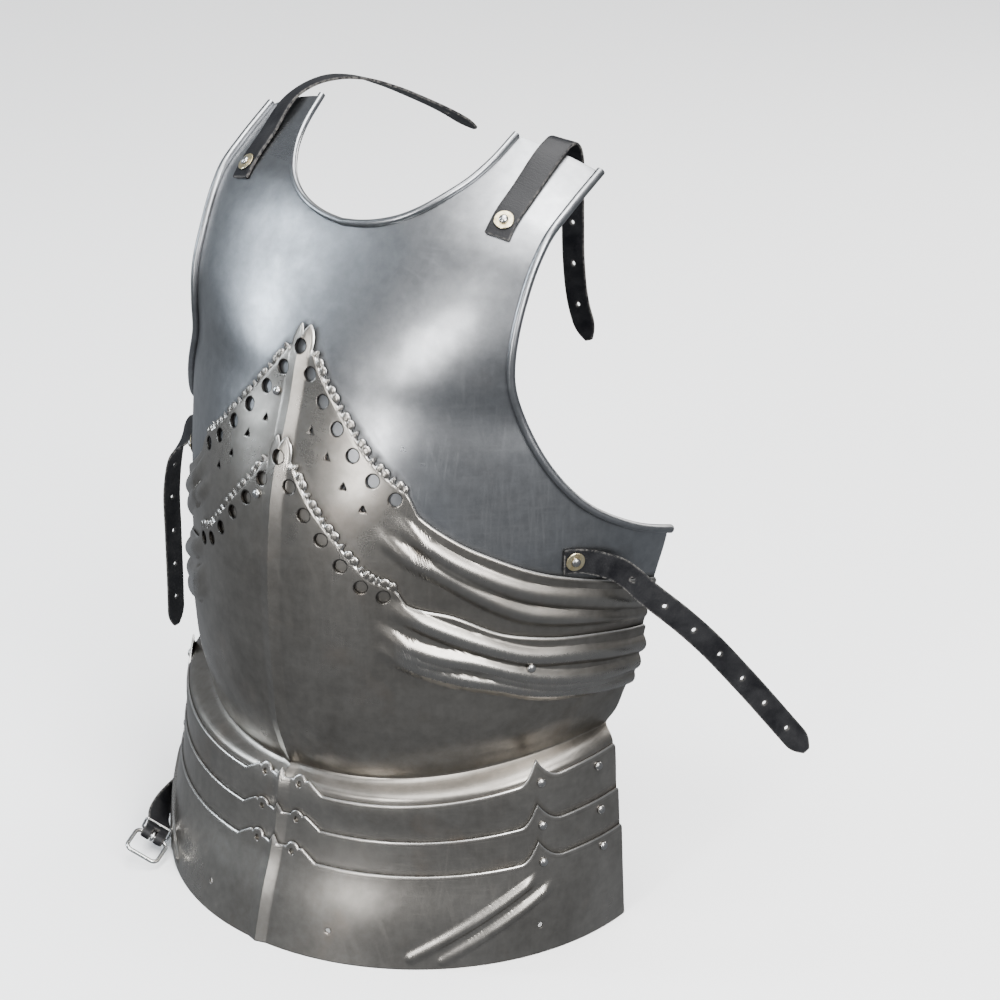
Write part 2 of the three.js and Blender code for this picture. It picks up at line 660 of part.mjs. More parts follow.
// Fauld. Each lame has a leaf and two pierced lobes over the centre ridge, and a sharp cusp near
// each end. Columns: turn, height as a share of the crest or cusp.
const crestShape = [[0, 1.0], [1.4, 0.62], [2.9, 0.50], [4.2, 0.82], [5.4, 0.86], [6.3, 0.60], [7.3, 0.64], [10.2, 0]];
const cuspShape = [[59.2, 0], [61.4, 0.42], [63.2, 1], [64.6, 0.60], [67, 0.22], [70.2, 0.06]];
const crestHoleTurn = 4.9;
const lameTop = (n) => (turn) => lameHeights[n] + lameSideRise * Math.sin(turn * degree) ** 2;

function lameContour(n) {
  const [crestEnd] = crestShape[crestShape.length - 1];
  const [[cuspStart], [cuspEnd]] = [cuspShape[0], cuspShape[cuspShape.length - 1]];
  const half = [
    ...crestShape.map(([turn, share]) => [turn, share * crestHeight]),
    ...halfTurns.filter((t) => t > crestEnd && t < cuspStart).map((turn) => [turn, 0]),
    ...cuspShape.map(([turn, share]) => [turn, share * cuspHeight]),
    ...halfTurns.filter((t) => t > cuspEnd).map((turn) => [turn, 0]),
  ].map(([turn, rise]) => ({ form: skirt, relief: keel, turn, height: lameTop(n)(turn) + rise, key: turn }));
  const mirrored = half.slice(1).reverse().map((place) => ({ ...place, turn: -place.turn, key: -place.key }));
  return [...mirrored, ...half];
}

// The oblique ribs of the lowest lame: a roof-shaped bar laid along a line of the form. Columns:
// turn, height as a share of the waist height.
const skirtFlutes = [
  [[64, 0.46], [57, 0.37], [50, 0.275], [43, 0.175], [36, 0.07]],
  [[68, 0.40], [61, 0.305], [54, 0.21], [47, 0.11], [43, 0.05]],
];
function skirtRib(places, sign) {
  const positions = [];
  const triangles = [];
  const base = lameLayers[2].outer;
  const points = places.map(([turn, share]) => [sign * turn, share * waistHeight]);
  const halfWidth = skirtFluteHalfWidth;
  points.forEach(([turn, height], i) => {
    const rise = i === 0 || i === points.length - 1 ? 0.2 : 1;
    const corners = [
      onForm(skirt, turn, height - halfWidth, base - 0.6),
      onForm(skirt, turn, height, base + skirtFluteHeight * rise),
      onForm(skirt, turn, height + halfWidth, base - 0.6),
    ];
    corners.forEach((v) => positions.push(v.x, v.y, v.z));
  });
  const last = (points.length - 1) * 3;
  triangles.push(0, 2, 1, last, last + 1, last + 2);
  for (let i = 0; i < points.length - 1; i += 1) {
    for (let k = 0; k < 3; k += 1) {
      const a = i * 3 + k;
      const b = i * 3 + (k + 1) % 3;
      triangles.push(a, b, a + 3, b, b + 3, a + 3);
    }
  }
  return outward(positions, triangles);
}

function fauldLame(n) {
  const bottom = n < 2 ? flat(lameHeights[n + 1] - lameOverlap) : flat(0);
  const levels = n < 2 ? [0, 0.52, 0.96] : [0, 0.36, 0.68, 0.96];
  const rows = [...levels.map((share) => row(skirt, between(bottom, lameTop(n), share), keel)), lameContour(n)];
  return formedSheet(rows, lameLayers[n]);
}

const lameRivets = lameHeights.flatMap((_, n) => [-1, 1].flatMap((sign) => lameRivetTurns.map((turn, k) => ({
  name: `rivet_lame_${n + 1}_${sign > 0 ? 'left' : 'right'}_${k === 0 ? 'front' : 'back'}`,
  turn: sign * turn,
  height: lameTop(n)(turn) - lameRivetDrops[k],
  head: lameLayers[n].outer,
  tail: n === 0 ? flangeLayer.inner : lameLayers[n - 1].inner,
  plates: n === 0 ? ['flange', 0] : [n - 1, n],
}))));
const skirtPunch = (r) => rivetPunch(skirt, r);
const flangePunches = lameRivets.filter((r) => r.plates.includes('flange')).map(skirtPunch);

function lowerPunches() {
  return [...borderPunches(lowerHoleTurns, lowerHoles), ...chestPunches.slice(1), ...flangePunches];
}
addMesh('plackart_lower', cutAll(lowerPlackart(), lowerPunches()), steel('lower_steel', steelColours.worn));

// Holes near the rim for hanging thigh plates; the short buckle strap is riveted in the one at the
// wearer's right
const tassetTurns = [-17, 17, lameRivetTurns[0]];
const tassetRivet = {
  turn: -lameRivetTurns[0], height: 0.172 * waistHeight,
  head: lameLayers[2].outer + strapLift + strapThickness, tail: lameLayers[2].inner,
};
lameHeights.forEach((_, n) => {
  const crestHoleHeight = lameTop(n)(0) + crestHeight * 0.28;
  const crestHoles = [-1, 1]
    .map((sign) => punch(skirt, sign * crestHoleTurn, crestHoleHeight, crestHoleRadius, { sides: 7 }));
  const rivetHoles = lameRivets.filter((r) => r.plates.includes(n)).map(skirtPunch);
  let lame = cutAll(fauldLame(n), [...crestHoles, ...rivetHoles]);
  if (n === 2) {
    const tassetHoles = tassetTurns
      .map((turn) => punch(skirt, turn, tassetRivet.height, tassetHoleRadius, { sides: 7 }));
    lame = skirtFlutes.reduce((solid, places) => solid.add(skirtRib(places, 1)).add(skirtRib(places, -1)), lame);
    lame = cutAll(lame, [...tassetHoles, skirtPunch(tassetRivet)]);
  }
  addMesh(`fauld_lame_${n + 1}`, lame, steel(`lame_${n + 1}_steel`, steelColours.dark));
});

// Rivets: a domed head outside, a shank through the plates and a low peened tail inside
const tailGap = 3 * seatGap;
function rivet(form, place) {
  const middle = (place.head + place.tail) / 2;
  const low = place.tail - middle - tailGap;
  const high = place.head - middle + seatGap;
  const profile = [
    [0, low - 0.8], [rivetShankRadius * 1.5, low], [rivetShankRadius, low],
    [rivetShankRadius, high], [rivetHeadRadius, high], [rivetHeadRadius * 0.75, high + rivetHeadHeight * 0.7],
    [0, high + rivetHeadHeight],
  ].map(([r, y]) => new THREE.Vector2(r, y));
  const geometry = new THREE.LatheGeometry(profile, 6);
  return solidOf(standOn(geometry, form, place.turn, place.height, middle));
}

chestRivets.forEach((r) => addMesh(r.name, rivet(torso, r), steel(`${r.name}_steel`, steelColours.bright)));
lameRivets.forEach((r) => addMesh(r.name, rivet(skirt, r), steel(`${r.name}_steel`, steelColours.bright)));

// Straps: a flat ribbon with a square end, a tapered tip and a width direction that turns from the
// first to the last along the free stretch
function ribbon(points, widths, tip) {
  const positions = [];
  const triangles = [];
  points.forEach((p, i) => {
    const next = points[Math.min(i + 1, points.length - 1)];
    const tangent = next.clone().sub(points[Math.max(i - 1, 0)]).normalize();
    const across = widths[i].clone().addScaledVector(tangent, -widths[i].dot(tangent)).normalize();
    const normal = across.clone().cross(tangent).normalize();
    const half = (tip && i === points.length - 1 ? 0.3 : 1) * strapWidth / 2;
    [[-1, -1], [1, -1], [1, 1], [-1, 1]].forEach(([a, n]) => {
      const v = p.clone().addScaledVector(across, a * half).addScaledVector(normal, n * strapThickness / 2);
      positions.push(v.x, v.y, v.z);
    });
  });
  const last = (points.length - 1) * 4;
  triangles.push(0, 1, 2, 0, 2, 3, last, last + 2, last + 1, last, last + 3, last + 2);
  for (let i = 0; i < points.length - 1; i += 1) {
    for (let k = 0; k < 4; k += 1) {
      const a = i * 4 + k;
      const b = i * 4 + (k + 1) % 4;
      triangles.push(a, a + 4, b, b, a + 4, b + 4);
    }
  }
  return outward(positions, triangles);
}

// The free stretch of a strap, walked step by step. Columns: length as a share of the free length,
// heading from +X towards +Y in degrees, slope in degrees.
function walk(start, length, steps) {
  const path = [start];
  steps.forEach(([share, heading, slope]) => {
    const step = new THREE.Vector3(
      Math.cos(heading * degree) * Math.cos(slope * degree),
      Math.sin(heading * degree) * Math.cos(slope * degree),
      Math.sin(slope * degree),
    );
    path.push(path[path.length - 1].clone().addScaledVector(step, length * share));
  });
  return path;
}

// A strap lies on the plate through its seated places, then runs free. Seated columns: turn,
// height as a share of the shoulder height, lift above the plate.
const strapMiddle = strapLift + strapThickness / 2;
function strapPath(strap) {
  const seated = strap.seated
    .map(([turn, share, lift]) => onForm(torso, turn, share * shoulderHeight, strapMiddle + lift));
  const used = seated.slice(1).reduce((sum, p, i) => sum + p.distanceTo(seated[i]), 0);
  const free = walk(seated[seated.length - 1], strap.length - used, strap.free).slice(1);
  const points = [...seated, ...free];
  const seatWidth = (i) => {
    const [turn, share] = strap.seated[i];
    const tangent = seated[Math.min(i + 1, seated.length - 1)].clone().sub(seated[Math.max(i - 1, 0)]);
    const width = torso.facing(turn, share * shoulderHeight).cross(tangent).normalize();
    return width.dot(strap.startWidth) < 0 ? width.negate() : width;
  };
  const lastSeat = seatWidth(seated.length - 1);
  const widths = points.map((_, i) => {
    if (i < seated.length) return seatWidth(i);
    const t = smooth((i - seated.length + 1) / 3);
    return lastSeat.clone().multiplyScalar(1 - t).addScaledVector(strap.endWidth, t).normalize();
  });
  return { points, widths, seated: seated.length };
}

// Adjusting holes at a steady pitch along the free stretch, back from the tip
function strapHoles(path, count) {
  const lengths = path.points.slice(1).map((p, i) => p.distanceTo(path.points[i]));
  const total = lengths.reduce((a, b) => a + b, 0);
  return Array.from({ length: count }, (_, k) => {
    let s = total - strapHolePitch * (k + 0.9);
    let i = 0;
    while (s > lengths[i]) {
      s -= lengths[i];
      i += 1;
    }
    const direction = path.points[i + 1].clone().sub(path.points[i]).normalize();
    const place = path.points[i].clone().addScaledVector(direction, s);
    const normal = path.widths[i].clone().cross(direction).normalize();
    const geometry = new THREE.CylinderGeometry(strapHoleRadius, strapHoleRadius, strapThickness * 4, 4);
    geometry.applyQuaternion(new THREE.Quaternion().setFromUnitVectors(new THREE.Vector3(0, 1, 0), normal));
    geometry.translate(place.x, place.y, place.z);
    return solidOf(geometry);
  });
}

const acrossX = new THREE.Vector3(1, 0, 0);
const upZ = new THREE.Vector3(0, 0, 1);
const shoulderTopShare = 1.0155;
const shoulderSeats = (sign) => [
  [sign * 35.9, 0.925, 0], [sign * 35.9, 0.942, 0], [sign * 36.1, 0.972, 0.4],
  [sign * 36.3, shoulderTopShare, 1.6],
];
const straps = [
  {
    name: 'shoulder_strap_left', length: shoulderStrapLength, rivet: shoulderRivet, holes: 4,
    seated: shoulderSeats(1), startWidth: acrossX, endWidth: acrossX,
    free: [[0.04, 90, 22], [0.04, 90, -8], [0.04, 90, -38], [0.04, 90, -66], [0.12, 90, -86], [0.18, 0, -89],
      [0.18, 0, -88], [0.18, 0, -82], [0.18, 0, -70]],
  },
  {
    name: 'shoulder_strap_right', length: shoulderStrapLength, rivet: mirrorPlace(shoulderRivet), holes: 3,
    seated: shoulderSeats(-1), startWidth: acrossX, endWidth: acrossX,
    free: [[0.10, 78, 18], [0.12, 72, 6], [0.12, 67, -8], [0.16, 63, -20], [0.17, 60, -26], [0.17, 59, -29],
      [0.16, 58, -34]],
  },
  {
    name: 'side_strap_left', length: sideStrapLength, rivet: sideRivet, holes: 7,
    seated: [[62.1, 0.5275, 0], [64.6, 0.5275, 0], [67.2, 0.525, 0.3], [70.5, 0.520, 3.2], [74.0, 0.512, 6.6]],
    startWidth: upZ, endWidth: new THREE.Vector3(0.38, 0.58, 0.54),
    free: [[0.14, 28, -38], [0.14, 45, -42], [0.14, 50, -46], [0.14, 58, -50], [0.14, 58, -51], [0.14, 55, -52],
      [0.16, 50, -52]],
  },
  {
    name: 'side_strap_right', length: sideStrapLength, rivet: mirrorPlace(sideRivet), holes: 5,
    seated: [[-62.1, 0.5275, 0], [-64.6, 0.5275, 0], [-67.2, 0.528, 0.3], [-70.5, 0.5285, 3.2], [-74.0, 0.529, 6.6]],
    startWidth: upZ, endWidth: new THREE.Vector3(0, 1, 0),
    free: [[0.14, 150, -28], [0.14, 165, -52], [0.14, 175, -76], [0.20, 180, -88], [0.19, 180, -89], [0.19, 180, -88]],
  },
];

straps.forEach((strap) => {
  const path = strapPath(strap);
  const punches = [rivetPunch(torso, strap.rivet), ...strapHoles(path, strap.holes)];
  const body = cutAll(ribbon(path.points, path.widths, true), punches);
  addMesh(strap.name, body, leather(`${strap.name}_leather`));
  const side = strap.name.replace('_strap', '');
  addMesh(`washer_${side}`, washer(torso, strap.rivet, washerBase), brass(`washer_${side}_brass`));
  addMesh(`rivet_${side}`, rivet(torso, strap.rivet), steel(`rivet_${side}_steel`, steelColours.bright));
});

// The buckle hangs forward off the rim on a short strap. Its own frame: run points from the bar that
// carries the strap to the far bar, across is along the bars, and face points away from the plates.
const buckleBar = new THREE.Vector3(-146.6, 44.4, 15);
const buckleHeading = -70.4;
const buckleSlope = -7.2;
const buckleRun = new THREE.Vector3(
  Math.cos(buckleHeading * degree) * Math.cos(buckleSlope * degree),
  Math.sin(buckleHeading * degree) * Math.cos(buckleSlope * degree),
  Math.sin(buckleSlope * degree),
);
const buckleLean = new THREE.Vector3(-0.8, -0.37, 0.45);
const buckleAcross = buckleLean.addScaledVector(buckleRun, -buckleLean.dot(buckleRun)).normalize();
const buckleFace = buckleRun.clone().cross(buckleAcross);
function byBuckle(run, face, across) {
  return buckleBar.clone().addScaledVector(buckleRun, run).addScaledVector(buckleFace, face)
    .addScaledVector(buckleAcross, across);
}

// A round wire through points that lie in one plane, closed into a ring or capped at both ends
function wire(points, radius, sides, planeNormal, closed) {
  const positions = [];
  const triangles = [];
  const count = points.length;
  points.forEach((p, i) => {
    const next = closed ? points[(i + 1) % count] : points[Math.min(i + 1, count - 1)];
    const before = closed ? points[(i + count - 1) % count] : points[Math.max(i - 1, 0)];
    const side = next.clone().sub(before).cross(planeNormal).normalize();
    for (let k = 0; k < sides; k += 1) {
      const angle = 2 * Math.PI * k / sides;
      const v = p.clone().addScaledVector(planeNormal, Math.cos(angle) * radius)
        .addScaledVector(side, Math.sin(angle) * radius);
      positions.push(v.x, v.y, v.z);
    }
  });
  for (let i = 0; i < (closed ? count : count - 1); i += 1) {
    for (let k = 0; k < sides; k += 1) {
      const a = i * sides + k;
      const b = i * sides + (k + 1) % sides;
      const c = ((i + 1) % count) * sides + k;
      const d = ((i + 1) % count) * sides + (k + 1) % sides;
      triangles.push(a, b, c, b, d, c);
    }
  }
  if (!closed) {
    const last = (count - 1) * sides;
    for (let k = 1; k < sides - 1; k += 1) triangles.push(0, k + 1, k, last, last + k, last + k + 1);
  }
  return outward(positions, triangles);
}

// A rectangle with rounded corners, as points of a plane given by a function of two measures
function roundedRing(centre, halfA, halfB, corner, steps, toPoint) {
  const points = [];
  [[1, 1], [-1, 1], [-1, -1], [1, -1]].forEach(([a, b], quarter) => {
    for (let k = 0; k < steps; k += 1) {
      const angle = (quarter + k / (steps - 1)) * Math.PI / 2;
      points.push(toPoint(
        centre[0] + a * (halfA - corner) + corner * Math.cos(angle),
        centre[1] + b * (halfB - corner) + corner * Math.sin(angle),
      ));
    }
  });
  return points;
}

// The strap goes over the bar, round it and back under itself. Free columns: measures along the
// buckle's run, face and across.
const loopRadius = buckleWire / 2 + buckleClearance + strapThickness / 2;
const buckleStrapSeats = [[-67, 0], [tassetRivet.turn, 0], [-61.5, 0.3]];
const buckleStrapPoints = [[-171.4, 89.2, 22.2], [-165.9, 76.9, 21.6], [-158.6, 64.2, 20.2]];
const approach = [[-12.4, 1.9, 0.8], [-6, loopRadius, 0]];
const loopAngles = [0, 45, 90, 135, 180];
function buckleStrap() {
  const seats = buckleStrapSeats
    .map(([turn, lift]) => onForm(skirt, turn, tassetRivet.height, lameLayers[2].outer + strapMiddle + lift));
  const points = [
    ...seats,
    ...buckleStrapPoints.map((p) => new THREE.Vector3(...p)),
    ...approach.map(([run, face, across]) => byBuckle(run, -face, across)),
    ...loopAngles.map((a) => byBuckle(loopRadius * Math.sin(a * degree), -loopRadius * Math.cos(a * degree), 0)),
    ...[...approach].reverse().map(([run, face, across]) => byBuckle(run, face, across)),
    byBuckle(-strapReturn, 2.9, 1.8),
  ];
  const twist = [0, 0, 0, 0.2, 0.5, 0.8];
  const widths = points.map((_, i) => {
    const t = i < twist.length ? twist[i] : 1;
    return upZ.clone().multiplyScalar(1 - t).addScaledVector(buckleAcross, t).normalize();
  });
  const slotWidth = tongueWire + 2 * buckleClearance + 0.6;
  const slot = buckleBox(byBuckle(-2, 0, 0), [16, slotWidth, 12]);
  return cutAll(ribbon(points, widths, false), [rivetPunch(skirt, tassetRivet), slot]);
}

// A box lined up with the buckle: centre, and sizes along its run, across and face
function buckleBox(centre, sizes) {
  const geometry = new THREE.BoxGeometry(...sizes);
  geometry.applyMatrix4(new THREE.Matrix4().makeBasis(buckleRun, buckleAcross, buckleFace));
  geometry.translate(centre.x, centre.y, centre.z);
  return solidOf(geometry);
}

function buckleFrame() {
  const halfAcross = (buckleWidth - buckleWire) / 2;
  const halfRun = (buckleLength - buckleWire) / 2;
  const ring = roundedRing([halfRun, 0], halfRun, halfAcross, buckleCorner, 3,
    (run, across) => byBuckle(run, 0, across));
  return wire(ring, buckleWire / 2, 6, buckleFace, true);
}

// The keeper holds the strap's two layers together behind the bar
function buckleKeeper() {
  const middle = (approach[0][0] + approach[1][0]) / 2;
  const layers = (approach[0][1] + approach[1][1]) / 2 + strapThickness / 2;
  const halfFace = layers + buckleClearance * 2 + keeperWire / 2;
  const halfAcross = strapWidth / 2 + buckleClearance * 2 + keeperWire / 2;
  const ring = roundedRing([0, approach[0][2] / 2], halfFace, halfAcross, keeperWire, 2,
    (face, across) => byBuckle(middle, face, across));
  return wire(ring, keeperWire / 2, 5, buckleRun, true);
}

// The tongue's eye turns on the bar, and its pin hangs folded back under the strap
function buckleTongue() {
  const eyeRadius = buckleWire / 2 + buckleClearance + tongueWire / 2;
  const steps = 9;
  const eye = Array.from({ length: steps }, (_, k) => 2 * Math.PI * k / steps)
    .map((angle) => byBuckle(eyeRadius * Math.sin(angle), eyeRadius * Math.cos(angle), 0));
  const pin = [[0.3, eyeRadius + 0.2], [-3.5, 6.6], [-8, 8.4], [-buckleLength + buckleWire, 8.8]]
    .map(([run, face]) => byBuckle(run, face, 0));
  const radius = tongueWire / 2;
  return wire(eye, radius, 6, buckleAcross, true).add(wire(pin, radius, 6, buckleAcross, false));
}

addMesh('buckle_strap', buckleStrap(), leather('buckle_strap_leather'));
addMesh('rivet_buckle', rivet(skirt, tassetRivet), steel('rivet_buckle_steel', steelColours.bright));
addMesh('buckle_frame', buckleFrame(), steel('buckle_frame_steel', steelColours.bright));
addMesh('buckle_keeper', buckleKeeper(), steel('buckle_keeper_steel', steelColours.bright));
addMesh('buckle_tongue', buckleTongue(), steel('buckle_tongue_steel', steelColours.bright));

// A flat ring round a rivet's shank
function washer(form, place, base) {
  const inner = rivetShankRadius + rivetClearance;
  const top = base + washerThickness;
  const profile = [[inner, base], [washerRadius, base], [washerRadius, top], [inner, top], [inner, base]]
    .map(([r, y]) => new THREE.Vector2(r, y));
  const geometry = new THREE.LatheGeometry(profile, 10);
  return solidOf(standOn(geometry, form, place.turn, place.height, 0));
}

export default part;
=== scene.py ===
# %% [markdown]
# A Gothic breastplate stands on its own rim: a chest plate under two pierced plackarts, a fauld of
# three lames, leather straps and a small buckle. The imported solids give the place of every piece.
# Each plate is made again here as a fine curved sheet, because the look of armour is in its edges,
# its reflections and its wear.

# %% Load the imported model
import math

import bpy
import numpy as np
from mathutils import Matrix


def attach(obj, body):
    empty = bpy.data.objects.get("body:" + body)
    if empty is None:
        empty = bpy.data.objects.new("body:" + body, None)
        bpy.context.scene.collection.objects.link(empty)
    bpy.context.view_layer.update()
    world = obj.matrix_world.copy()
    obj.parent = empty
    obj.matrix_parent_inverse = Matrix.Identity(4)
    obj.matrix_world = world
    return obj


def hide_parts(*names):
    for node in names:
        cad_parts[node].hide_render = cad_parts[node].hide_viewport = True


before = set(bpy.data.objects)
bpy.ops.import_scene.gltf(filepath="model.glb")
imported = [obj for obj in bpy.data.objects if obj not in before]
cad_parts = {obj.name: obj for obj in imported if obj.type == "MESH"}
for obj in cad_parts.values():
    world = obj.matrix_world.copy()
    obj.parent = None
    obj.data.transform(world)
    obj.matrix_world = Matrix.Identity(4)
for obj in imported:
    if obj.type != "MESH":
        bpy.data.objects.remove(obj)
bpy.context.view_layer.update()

# %% [markdown]
# The camera comes first, so that each new piece can be judged in the picture's own frame. The real
# picture was taken from a little above, three quarters from the front, with a long lens. A long
# lens keeps the sides almost parallel, and this one sees about 22 degrees.

# %% Camera


def into_scene(name, data):
    """A new object at the origin, linked to the scene."""
    made = bpy.data.objects.new(name, data)
    bpy.context.scene.collection.objects.link(made)
    return made


CAMERA_PLACE = (1.1284, -1.2019, 1.0731)
CAMERA_AZIMUTH = 36.87
CAMERA_ELEVATION = 23.61
LENS_MM = 93.6
SENSOR_MM = 36

camera_data = bpy.data.cameras.new("camera")
camera_data.lens = LENS_MM
camera_data.sensor_width = SENSOR_MM
camera = into_scene("camera", camera_data)
camera.location = CAMERA_PLACE
camera.rotation_euler = (math.radians(90 - CAMERA_ELEVATION), 0, math.radians(CAMERA_AZIMUTH))
bpy.context.scene.camera = camera
print("camera at", CAMERA_PLACE)

# %% [markdown]
# Armour follows the body, so all plates share one measured form. The form is a stack of sections,
# each a half ellipse given by its front and side depth and its half width. A smooth curve runs
# through the table, so the form can be asked for a point at any turn and height. Columns: height
# above the waist as a share of the torso's height, front and side depth as shares of the chest
# depth, half width as a share of the chest half width, rise of the side ends as a share of the
# torso's height, and how far the cheeks are pulled in.

# %% Sizes of the form
SHOULDER_HEIGHT = 0.580
WAIST_HEIGHT = 0.131
CHEST_HALF_WIDTH = 0.206
CHEST_DEPTH = 0.228
RIM_HALF_WIDTH = 0.1905
RIM_DEPTH = 0.196
TORSO_HEIGHT = SHOULDER_HEIGHT - WAIST_HEIGHT
WRAP_RADIUS = (CHEST_HALF_WIDTH + CHEST_DEPTH * 0.83) / 2

TORSO_SECTIONS = [
    (-0.055, 0.270, 0.850, 0.820, 0.060, 0.030),
    (0.000, 0.236, 0.866, 0.830, 0.055, 0.030),
    (0.042, 0.206, 0.904, 0.850, 0.038, 0.030),
    (0.087, 0.180, 0.912, 0.874, 0.027, 0.030),
    (0.156, 0.167, 0.943, 0.903, 0.011, 0.030),
    (0.238, 0.158, 0.969, 0.927, 0.000, 0.035),
    (0.318, 0.158, 0.996, 0.961, 0.000, 0.045),
    (0.396, 0.167, 1.004, 1.000, 0.000, 0.056),
    (0.477, 0.189, 1.004, 1.005, 0.000, 0.060),
    (0.563, 0.237, 0.991, 0.990, 0.000, 0.050),
    (0.628, 0.281, 0.982, 0.971, 0.000, 0.040),
    (0.688, 0.316, 0.952, 0.961, -0.009, 0.020),
    (0.751, 0.373, 0.921, 0.961, -0.022, 0.000),
    (0.822, 0.452, 0.904, 0.961, -0.040, 0.000),
    (0.889, 0.544, 0.912, 0.961, -0.058, 0.000),
    (0.922, 0.605, 0.921, 0.961, -0.073, 0.000),
    (0.964, 0.715, 0.978, 0.961, -0.098, 0.000),
    (1.025, 0.886, 1.132, 0.961, -0.127, 0.000),
]
# The skirt below the waist: height as a share of the waist height, depths as shares of the rim
# depth, half width as a share of the rim half width, rise as a share of the waist height
SKIRT_SECTIONS = [
    (0.000, 0.0444, 1.000, 1.000, 0.000),
    (0.267, 0.0944, 0.985, 1.000, 0.023),
    (0.519, 0.1556, 0.985, 0.990, 0.061),
    (0.725, 0.1837, 0.980, 0.984, 0.115),
    (0.916, 0.1939, 0.975, 0.979, 0.183),
    (1.031, 0.2245, 0.970, 0.968, 0.229),
    (1.145, 0.2653, 0.970, 0.955, 0.260),
]


# %% A smooth curve through a table
def table_curve(rows):
    """Cubic pieces between the rows. The slope at a row is that of a parabola through it and its
    two neighbours, and the curve goes on straight beyond both ends."""
    rows = np.asarray(rows, float)
    x, values = rows[:, 0], rows[:, 1:]
    run = np.diff(x)[:, None]
    chord = np.diff(values, axis=0) / run
    middle = (chord[:-1] * run[1:] + chord[1:] * run[:-1]) / (run[1:] + run[:-1])
    slopes = np.vstack([chord[:1], middle, chord[-1:]])

    def at(place):
        place = np.asarray(place, float)
        i = np.clip(np.searchsorted(x, place, side="right") - 1, 0, len(x) - 2)
        width = (x[i + 1] - x[i])[..., None]
        t = (place - x[i])[..., None] / width
        u = np.clip(t, 0, 1)
        start, end = slopes[i] * width, slopes[i + 1] * width
        curve = values[i] * (2 * u**3 - 3 * u**2 + 1) + start * (u**3 - 2 * u**2 + u)
        curve += values[i + 1] * (3 * u**2 - 2 * u**3) + end * (u**3 - u**2)
        return curve + start * np.minimum(t, 0) + end * np.maximum(t - 1, 0)

    return at


def smooth(x):
    """An S-curve from 0 to 1: three times the square less twice the cube."""
    t = np.clip(x, 0, 1)
    return t * t * (3 - 2 * t)


def unit(vectors):
    """Each vector divided by its own length."""
    return vectors / np.linalg.norm(vectors, axis=-1, keepdims=True)


# %% The two forms
torso_curve = table_curve(TORSO_SECTIONS)
skirt_curve = table_curve(SKIRT_SECTIONS)
STEP = 5e-5
TURN_STEP = 0.05


def torso_point(turn, height):
    """Half width times the sine of the turn sideways, front depth plus the depth's growth times
    one less the cosine backwards, and the height with the side ends raised by the sine cubed."""
    rows = torso_curve((height - WAIST_HEIGHT) / TORSO_HEIGHT)
    front, side, half, rise, cheek = np.moveaxis(rows, -1, 0)
    angle = np.radians(turn)
    s, c = np.sin(angle), np.cos(angle)
    pull = 1 - cheek * np.sin(2 * angle) ** 2
    return np.stack([
        CHEST_HALF_WIDTH * half * s * pull,
        CHEST_DEPTH * (front + (side - front) * (1 - c * pull)),
        height + TORSO_HEIGHT * rise * np.abs(s) ** 3,
    ], -1)


def skirt_point(turn, height):
    """The torso's formula without the cheeks, on the skirt's own table."""
    rows = skirt_curve(height / WAIST_HEIGHT)
    front, side, half, rise = np.moveaxis(rows, -1, 0)
    angle = np.radians(turn)
    s, c = np.sin(angle), np.cos(angle)
    return np.stack([
        RIM_HALF_WIDTH * half * s,
        RIM_DEPTH * (front + (side - front) * (1 - c)),
        height + WAIST_HEIGHT * rise * np.abs(s) ** 3,
    ], -1)


def facing(point, turn, height):
    """Square to the surface: the cross product of the step round and the step up."""
    along = point(turn + TURN_STEP, height) - point(turn - TURN_STEP, height)
    up = point(turn, height + STEP) - point(turn, height - STEP)
    return unit(np.cross(along, up))


def level_facing(point, turn, height):
    """Square to the section, and level."""
    along = point(turn + TURN_STEP, height) - point(turn - TURN_STEP, height)
    return unit(np.stack([along[..., 1], -along[..., 0], 0 * along[..., 0]], -1))


def on_torso(turn, height, offset):
    """A point of the torso, moved out square to it."""
    out = facing(torso_point, turn, height)
    return torso_point(turn, height) + out * np.asarray(offset)[..., None]


def on_skirt(turn, height, offset):
    """A point of the skirt, moved out level."""
    out = level_facing(skirt_point, turn, height)
    return skirt_point(turn, height) + out * np.asarray(offset)[..., None]


for spot, turn in (("front", 0.0), ("side", 90.0)):
    print("chest", spot, "at", np.round(torso_point(turn, 0.3), 4))

# %% [markdown]
# On the real piece a smith cuts each plate flat, pierces and files its border, and then raises it
# over a stake. The same order works here. A plate starts as a flat grid of turn and height. Its
# outline and holes are one distance function, negative inside the metal, built from circles,
# lines and small leaves. The grid is cut exactly along the distance of zero, and once more just
# inside it for a bevel. Only then is the sheet laid on the form and given its two faces. A boolean
# on a raised plate would leave ragged edges.

# %% Cut a flat grid along a distance function


def graded(breaks, spacings):
    """Grid lines from break to break, each stretch with its own spacing."""
    parts = [np.linspace(a, b, max(2, int(round((b - a) / gap)) + 1))[:-1]
             for a, b, gap in zip(breaks[:-1], breaks[1:], spacings)]
    return np.concatenate(parts + [[breaks[-1]]])


def mirrored_lines(half_breaks, spacings):
    """The graded lines of one half, and the same on the other side of zero."""
    half = graded(half_breaks, spacings)
    return np.concatenate([-half[:0:-1], half])


def grid_faces(rows, columns):
    """Two triangles for each cell, turned so that they face out on the form. The diagonal changes
    side at the middle column, so both halves of a plate are cut alike."""
    index = np.arange(rows * columns).reshape(rows, columns)
    a, b = index[:-1, :-1], index[:-1, 1:]
    c, d = index[1:, 1:], index[1:, :-1]
    left = np.broadcast_to(np.arange(columns - 1) < (columns - 1) // 2, a.shape)
    one = np.where(left[..., None], np.stack([a, b, c], -1), np.stack([a, b, d], -1))
    two = np.where(left[..., None], np.stack([a, c, d], -1), np.stack([b, c, d], -1))
    return np.concatenate([one.reshape(-1, 3), two.reshape(-1, 3)])


